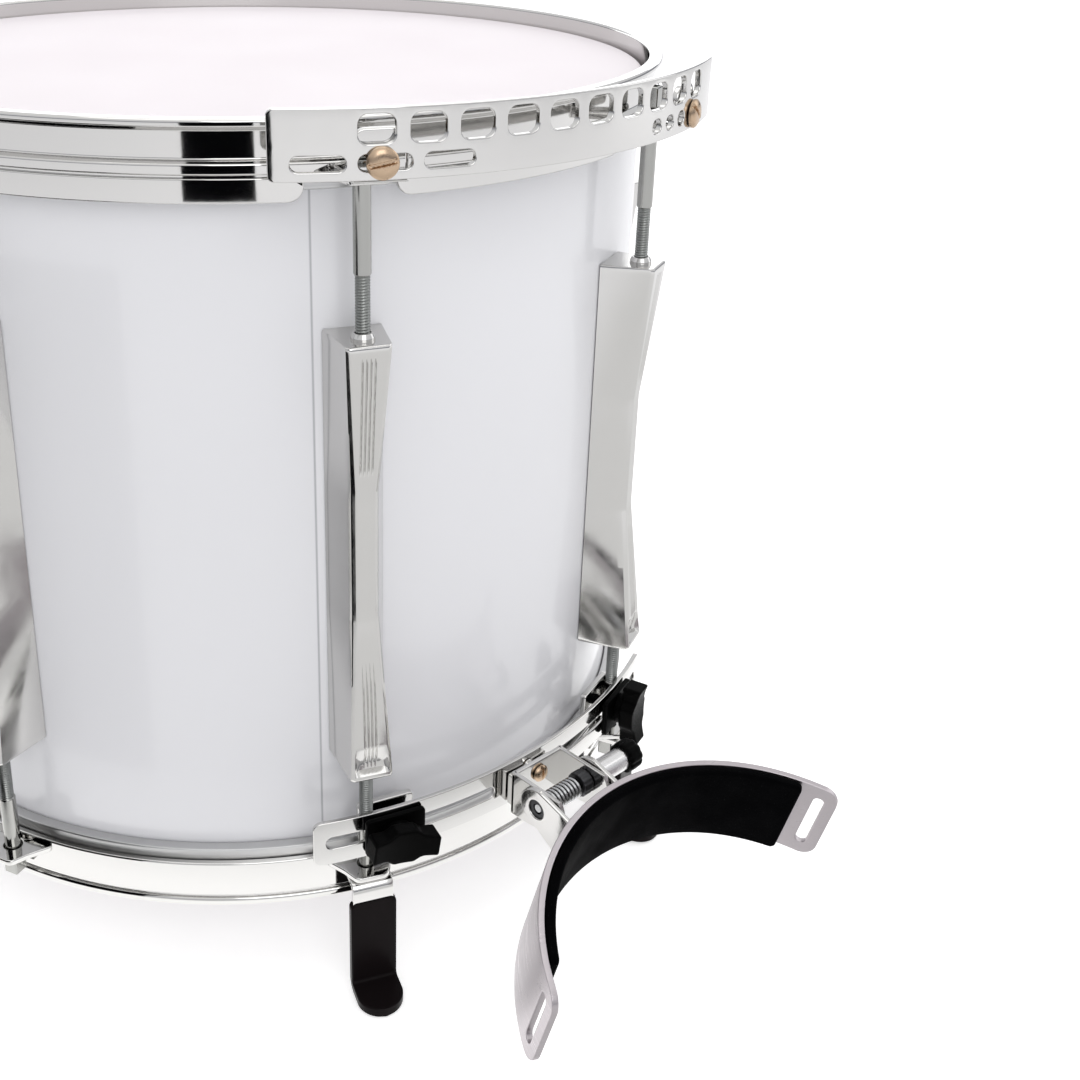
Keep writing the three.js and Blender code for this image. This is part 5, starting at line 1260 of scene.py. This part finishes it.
class DRUM_OT_leg_rest(bpy.types.Operator):
    """Builds the swinging leg rest: bracket, plate, pad and the knob that locks it"""

    bl_idname = "snare_drum.leg_rest"
    bl_label = "Leg rest"

    def execute(self, context):
        low, high = AXLE_LEVEL - 12, AXLE_LEVEL + 9
        web_edge = [(WEB_OUT + CRADLE_WALL, low), (WEB_OUT + CRADLE_WALL, high)]
        side_line = np.vstack([web_edge, arc_points(9.0, 90, 225, 24), [(WEB_OUT, low)]])
        outline = free_outline(dense(free_outline(side_line), 1.6)[0])
        cradle = [
            plate(outline, [circle(hole, AXLE_OUT, AXLE_LEVEL, steps)], CRADLE_WALL, 0.5, side_sheet(across))
            for hole, steps, across in (
                (4.2, 32, -(CRADLE_INNER + CRADLE_WALL / 2)),
                (AXLE_HOLE, 28, CRADLE_INNER + CRADLE_WALL / 2),
            )
        ]
        back = rectangle(2 * CRADLE_OUTER, high - low, 1.2, 0, (low + high) / 2)
        cradle.append(plate(back, [], CRADLE_WALL, 0.6, upright_sheet(WEB_OUT + CRADLE_WALL / 2)))
        cradle = [tilted(surface) for surface in cradle]
        make_piece("leg_rest_cradle", cradle, "Chromed steel", "leg_rest", ["leg_rest_bracket"])
        middle = AXLE_LEVEL + 2.4
        radius = REST_RADIUS - LEG_PLATE_THICKNESS / 2
        reach, slot_reach = (math.radians(angle) * radius for angle in (LEG_PLATE_END, LEG_PLATE_SLOT_ANGLE))
        half_height = LEG_PLATE_HALF_HEIGHT
        outline = oblong((-reach, middle - half_height), (reach, middle + half_height), 7.0, 10)
        slots = [rectangle(4.6, 27.0, 2.2, across, middle, 8) for across in (-slot_reach, slot_reach)]
        bar = plate(outline, slots, LEG_PLATE_THICKNESS, 0.45, bowed_sheet(radius), spacing=3.5)
        bar = tilted(bar)
        make_piece("leg_plate", [bar], "Satin aluminium", "leg_rest", ["leg_rest_plate"])
        radius = REST_RADIUS - LEG_PLATE_THICKNESS - GAP - PAD_THICKNESS / 2
        reach = math.radians(PAD_END) * radius
        outline = oblong((-reach, middle - PAD_HALF_HEIGHT), (reach, middle + PAD_HALF_HEIGHT), 2.5, 6)
        crown_height = context.scene.drum_sizes.pad_crown / MM

        def on_pad(u, v, w):
            crown = np.clip(1 - (u / reach) ** 8, 0, 1) * np.clip(1 - ((v - middle) / 19.4) ** 4, 0, 1)
            return bowed_sheet(radius)(u, v, w - np.where(w < 0, crown_height * crown, 0))

        pad = tilted(plate(outline, [], PAD_THICKNESS, 1.3, on_pad, spacing=2.2, edge_steps=6))
        foam = make_piece(
            "leg_pad", [pad], "Jersey-faced foam", "leg_rest", ["leg_rest_pad"], sharp=80
        )
        collar = turned([(AXLE_HOLE, 0), (4.7, 0), (5.0, 0.3), (5.0, 17.2), (AXLE_HOLE, 17.2)], 48)
        turn = np.linspace(0, TURN, 160, endpoint=False)
        level = np.array([0, 0.3, 0.9, 1.7, 5.6, 6.8, 7.6, 8.0])
        swell = np.array([0.88, 0.95, 0.99, 1.0, 1.0, 0.97, 0.9, 0.8])
        flutes = 6.8 - 0.45 * (0.5 - 0.5 * np.cos(10 * turn)) ** 2
        grip = uneven(swell[:, None] * flutes, turn, 17.0 + level)
        make_piece(
            "axle_grip_knob", on_axle([collar, grip], CRADLE_OUTER + GAP), "Moulded black nylon",
            "leg_rest_knob_body", ["leg_rest_knob"], second=("Turned steel", 1),
        )
        return {"FINISHED"}


class DRUM_OT_snare_side(bpy.types.Operator):
    """Builds the strainer, the butt plate, the snares and the air vent"""

    bl_idname = "snare_drum.snare_side"
    bl_label = "Snare mechanism"

    def execute(self, context):
        back = SHELL_RADIUS + GAP
        low = BOTTOM_RIM + 40
        strainer_side, butt_side, vent_side = 90, 270, 180
        case = rectangle(34, 74, 4.3, 0, low + 37)
        middle_out = back + STRAINER_THICKNESS / 2
        case = plate(case, [], STRAINER_THICKNESS, 1.2, upright_sheet(middle_out), edge_steps=6)
        pin = turned([(0, 0), (2.8, 0), (2.8, 6.9), (2.5, 7.2), (0, 7.2)], 28)
        pin = pointing(pin, (0, -1, 0), (0, -(back + 12.9), STRAINER_PIVOT))
        surfaces = [about_z(surface, strainer_side) for surface in (case, pin)]
        make_piece("strainer_case", surfaces, "Chromed steel", "drum", ["strainer_body"])
        pin_hole = circle(3.1, 0, STRAINER_PIVOT, 24)
        handle = rectangle(12, 62, 4.0, 0, STRAINER_PIVOT - 25)
        lever = plate(handle, [pin_hole], 6, 1.2, upright_sheet(back + 13.5 + 3), edge_steps=6)
        lever = about_z(lever, strainer_side)
        node = "strainer_lever"
        make_piece("throw_lever", [lever], "Chromed steel", f"{node}_body", [node])
        turn = np.linspace(0, TURN, 120, endpoint=False)
        level = np.array([-9.7, 0.3, 0.3, 0.8, 13.6, 14.3, 14.3])
        radius = np.array([2.4, 2.4, 7.4, 8.0, 8.0, 7.4, 0.6])[:, None]
        knurl = 1 + 0.02 * np.cos(30 * turn) * (radius > 7.3)
        points, faces = uneven(radius * knurl, turn, level)
        knob = about_z((points + np.array([0, -(back + 8.3), low + 74]), faces), strainer_side)
        node = "strainer_knob"
        make_piece("tension_thumb_knob", [knob], "Zinc-plated steel", f"{node}_body", [node])
        block = rectangle(34, 34, 3.3, 0, BOTTOM_RIM + 59)
        place = upright_sheet(back + BUTT_THICKNESS / 2)
        butt = about_z(plate(block, [], BUTT_THICKNESS, 1.2, place, edge_steps=6), butt_side)
        make_piece("butt_block", [butt], "Chromed steel", "drum", ["butt_plate"])
        half = SHELL_RADIUS * 0.93
        level = SNARE_FACE - GAP - 0.7
        reach = half - 12
        turn = np.linspace(0, TURN * SNARE_TURNS, SNARE_TURNS * 5 + 1)
        spoke = np.stack([np.zeros_like(turn), np.cos(turn), np.sin(turn)], 1)
        along = 2 * reach * turn / turn[-1] - reach
        surfaces = []
        for index in range(SNARE_COUNT):
            across = (index - (SNARE_COUNT - 1) / 2) * SNARE_SPACING
            path = np.array([0, across, level]) + SNARE_RADIUS * spoke
            path[:, 0] += along
            surfaces.append(tube(path, SNARE_WIRE, spoke, 4))
        for side in (-1, 1):
            strip = rectangle(14, 40.8, 1.0, side * (half - 7), 0)
            surfaces.append(plate(strip, [], 1.6, 0.3, level_sheet(level - 0.9, 1.6)))
        make_piece("snare_wires", surfaces, "Bright snare wire", "drum", ["snares"])
        flange = [(2.7, 0.3), (7.0, 0.3), (6.2, 1.6)]
        vent = ring(rounded([(1.8, -6.5), (2.7, -6.5), *flange, (1.8, 1.6)], 0.3, 4)[0], steps=48)
        place, outwards, _ = on_arc(vent_side, SHELL_RADIUS, 0, (LUG_TOP + LUG_BOTTOM) / 2)
        vent = pointing(vent, outwards, place)
        make_piece("vent_grommet", [vent], "Chromed steel", "drum", ["air_vent"])
        return {"FINISHED"}


def fill_ramp(ramp, steps):
    """Gives a colour ramp its steps, each a position and a colour, from its first end to its last."""
    (start, first), *between, (end, last) = steps
    elements = ramp.color_ramp.elements
    elements[0].position, elements[0].color = start, first
    elements[1].position, elements[1].color = end, last
    for position, colour in between:
        elements.new(position).color = colour


def studio_world(strength):
    """A white room. The camera sees it white, mirrors see it darker towards the floor, and it lights the
    object less strongly."""
    world = bpy.data.worlds.new("White studio")
    bpy.context.scene.world = world
    world.use_nodes = True
    tree = world.node_tree
    tree.nodes.clear()
    rays = add_node(tree, "ShaderNodeLightPath").outputs
    place = add_node(tree, "ShaderNodeTexCoord").outputs["Generated"]
    parts = add_node(tree, "ShaderNodeSeparateXYZ", {"Vector": place})
    ramp = add_node(tree, "ShaderNodeValToRGB", {"Fac": parts.outputs["Z"]})
    fill_ramp(ramp, ((0.0, linear("#6E727C")), (0.3, linear("#E4E5E8")), (0.9, linear("#FFFFFF"))))
    white = (1, 1, 1, 1)
    mirrors = add_node(tree, "ShaderNodeBackground", {"Color": ramp, "Strength": 1.0})
    seen = add_node(tree, "ShaderNodeBackground", {"Color": white, "Strength": 1.0})
    light = add_node(tree, "ShaderNodeBackground", {"Color": white, "Strength": strength})
    clear_rays = {0: rays["Is Glossy Ray"], 1: rays["Is Transmission Ray"]}
    clear = add_node(tree, "ShaderNodeMath", clear_rays, operation="MAXIMUM")
    first = add_node(tree, "ShaderNodeMixShader", {0: clear, 1: light, 2: mirrors})
    second = add_node(tree, "ShaderNodeMixShader", {0: rays["Is Camera Ray"], 1: first, 2: seen})
    add_node(tree, "ShaderNodeOutputWorld", {"Surface": second})


def pale_floor(colour):
    """Painted studio floor, pale and even. The camera sees it white where no shadow falls, and mirrors see
    rings of painted reflection on it, a glow that only glossy rays see: dark close in, bright in a band round
    the drum, dark beyond and a little brighter far out."""
    material, tree = blank_material("White floor paint")
    place = add_node(tree, "ShaderNodeTexCoord").outputs["Object"]
    rays = add_node(tree, "ShaderNodeLightPath").outputs
    roller = add_node(tree, "ShaderNodeTexNoise", {"Vector": place, "Scale": per_length(4), "Detail": 2.0})
    bump = add_node(tree, "ShaderNodeBump", {"Height": roller, "Strength": 0.05, "Distance": 0.2 * MM})
    look = {"Base Color": colour, "Roughness": 0.8, "Specular IOR Level": 0.2, "Normal": bump}
    paint = add_node(tree, "ShaderNodeBsdfPrincipled", look)
    away = add_node(tree, "ShaderNodeVectorMath", {0: place}, operation="LENGTH").outputs["Value"]
    # Painted reflection: a glow by distance from the middle that only glossy rays see, so that chrome shows
    # bright and dark bands
    painted_reflection_rings = add_node(tree, "ShaderNodeValToRGB", {"Fac": away})
    steps = [(0.37, 0.0), (0.392, 0.85), (0.425, 0.85), (0.47, 0.05), (0.72, 0.02)]
    steps = [(position, (level, level, level, 1.0)) for position, level in steps]
    fill_ramp(painted_reflection_rings, [*steps, (0.95, (0.24, 0.24, 0.26, 1.0))])
    tones = {"Factor": rays["Is Glossy Ray"], "A": (0.5, 0.5, 0.5, 1.0), "B": painted_reflection_rings}
    seen = add_node(tree, "ShaderNodeMix", tones, data_type="RGBA").outputs[2]
    clear_rays = {0: rays["Is Camera Ray"], 1: rays["Is Glossy Ray"]}
    clear = add_node(tree, "ShaderNodeMath", clear_rays, operation="MAXIMUM")
    glow = add_node(tree, "ShaderNodeEmission", {"Color": seen, "Strength": clear})
    both = add_node(tree, "ShaderNodeAddShader", {0: paint, 1: glow})
    add_node(tree, "ShaderNodeOutputMaterial", {"Surface": both})
    return material


def area_lamp(name, place, target, size, power):
    """A rectangular soft lamp that looks at a target."""
    lamp = bpy.data.lights.new(name, "AREA")
    lamp.shape = "RECTANGLE"
    lamp.size, lamp.size_y = size
    lamp.energy = power
    holder = bpy.data.objects.new(name, lamp)
    holder.location = place
    holder.rotation_euler = (Vector(target) - Vector(place)).to_track_quat("-Z", "Y").to_euler()
    bpy.context.scene.collection.objects.link(holder)


def dark_reflection_cloth():
    """Matt near-black for the cards of painted dark reflection: it gives back almost no light."""
    material, tree = blank_material("Black for painted dark reflections")
    look = {"Base Color": linear("#0B0B0E"), "Roughness": 1.0, "Specular IOR Level": 0.0}
    cloth = add_node(tree, "ShaderNodeBsdfPrincipled", look)
    add_node(tree, "ShaderNodeOutputMaterial", {"Surface": cloth})
    return material


def stage_sheet(name, points, rows, columns, material):
    """A sheet of the stage: a grid of points in millimetres with one material."""
    mesh = bpy.data.meshes.new(name)
    mesh.from_pydata((points * MM).tolist(), [], grid_faces(rows, columns, closed_columns=False).tolist())
    mesh.materials.append(material)
    sheet = bpy.data.objects.new(name, mesh)
    bpy.context.scene.collection.objects.link(sheet)
    return sheet


def dark_reflection_card(name, place, material):
    """A black card bent about the drum's axis, which only mirrors see: a painted dark reflection that casts
    no shadow, gives no light and stays out of the camera's view. place is its middle's angle from the
    player's side in degrees, its distance, its width as an angle, and its lowest and highest level."""
    angle, distance, sweep, low, high = place
    turn = np.radians(angle + np.linspace(-sweep / 2, sweep / 2, 9))
    arc = distance * np.sin(turn), -distance * np.cos(turn)
    rows = [np.column_stack([*arc, np.full(9, level)]) for level in (low, high)]
    card = stage_sheet(name, np.concatenate(rows), 2, 9, material)
    card.visible_camera = card.visible_diffuse = card.visible_shadow = card.visible_transmission = False


class DRUM_OT_stage(bpy.types.Operator):
    """Builds the floor, the lamps, the cards of painted dark reflection, the room and the camera"""

    bl_idname = "snare_drum.stage"
    bl_label = "Studio"

    def execute(self, context):
        studio = context.scene.drum_studio
        across = np.linspace(-6000.0, 6000.0, 9)
        grid = np.stack(np.meshgrid(across, across), -1).reshape(-1, 2)
        points = np.column_stack([grid, np.full(len(grid), float(CAD_BOX[0].z) / MM)])
        floor = stage_sheet("studio_floor", points, 9, 9, pale_floor(studio.floor))
        studio_world(studio.sky_strength)
        drum, batter = (0.0, -0.1, -0.15), (0.0, 0.0, 0.0)
        for name, place, target, size, power in (
            ("Key softbox", (-0.9, -1.9, 1.3), drum, (1.4, 1.4), studio.key_power),
            ("Fill softbox", (1.9, -1.0, 0.6), drum, (1.0, 1.6), studio.fill_power),
            ("Top softbox", (0.2, 0.1, 2.0), drum, (1.8, 1.8), studio.top_power),
            ("Back softbox", (1.35, 1.65, 0.34), batter, (3.0, 0.7), studio.back_power),
        ):
            area_lamp(name, place, target, size, power)
        # Painted dark reflection: black cards that only mirrors see, put by the hoop and below the lugs to
        # darken their reflections
        black = dark_reflection_cloth()
        dark_reflection_card("left_dark_reflection_card", (-37.6, 236, 9.6, -34, 14), black)
        dark_reflection_card("lug_dark_reflection_card", (-72, 300, 30, -350, -85), black)
        heading, pitch, roll = studio.heading, studio.pitch, studio.roll
        level_ahead = math.cos(pitch)
        ahead = Vector((math.sin(heading) * level_ahead, math.cos(heading) * level_ahead, -math.sin(pitch)))
        right = Vector((math.cos(heading), -math.sin(heading), 0))
        up = right.cross(ahead)
        turned_right = right * math.cos(roll) + up * math.sin(roll)
        turned_up = up * math.cos(roll) - right * math.sin(roll)
        lens = bpy.data.cameras.new("Photograph camera")
        lens.lens = studio.lens
        lens.sensor_width = 36.0
        lens.shift_x, lens.shift_y = studio.shift
        lens.clip_start, lens.clip_end = 0.01, 50.0
        camera = bpy.data.objects.new("Photograph camera", lens)
        turn = Matrix((turned_right, turned_up, -ahead)).transposed().to_4x4()
        camera.matrix_world = Matrix.Translation(studio.camera_place) @ turn
        context.scene.collection.objects.link(camera)
        context.scene.camera = camera
        context.scene.view_settings.view_transform = "Standard"
        return {"FINISHED"}


OPERATORS = (
    DRUM_OT_stage,
    DRUM_OT_shell,
    DRUM_OT_heads,
    DRUM_OT_hoops,
    DRUM_OT_lugs,
    DRUM_OT_rods,
    DRUM_OT_carrying_rail,
    DRUM_OT_lower_rail,
    DRUM_OT_feet,
    DRUM_OT_leg_rest_mount,
    DRUM_OT_leg_rest,
    DRUM_OT_snare_side,
)


class DRUM_PT_sidebar(bpy.types.Panel):
    """Lists the drum's pieces and settings"""

    bl_idname = "DRUM_PT_sidebar"
    bl_label = "Marching snare drum"
    bl_space_type = "VIEW_3D"
    bl_region_type = "UI"
    bl_category = "Snare Drum"

    def draw(self, context):
        layout = self.layout
        for operator in OPERATORS:
            layout.operator(operator.bl_idname)
        for group in (context.scene.drum_sizes, context.scene.drum_colours, context.scene.drum_studio):
            box = layout.box()
            for name in group.__annotations__:
                box.prop(group, name)


CLASSES = (DrumColours, DrumSizes, StudioSettings, *OPERATORS, DRUM_PT_sidebar)


def register():
    for item in CLASSES:
        bpy.utils.register_class(item)
    bpy.types.Scene.drum_colours = bpy.props.PointerProperty(type=DrumColours)
    bpy.types.Scene.drum_sizes = bpy.props.PointerProperty(type=DrumSizes)
    bpy.types.Scene.drum_studio = bpy.props.PointerProperty(type=StudioSettings)


def unregister():
    del bpy.types.Scene.drum_studio
    del bpy.types.Scene.drum_sizes
    del bpy.types.Scene.drum_colours
    for item in reversed(CLASSES):
        bpy.utils.unregister_class(item)


def main():
    """Registers the add-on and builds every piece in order."""
    register()
    for operator in OPERATORS:
        group, name = operator.bl_idname.split(".")
        result = getattr(getattr(bpy.ops, group), name)()
        if result != {"FINISHED"}:
            raise RuntimeError(f"{operator.bl_label} wasn't built")


if __name__ == "__main__":
    main()
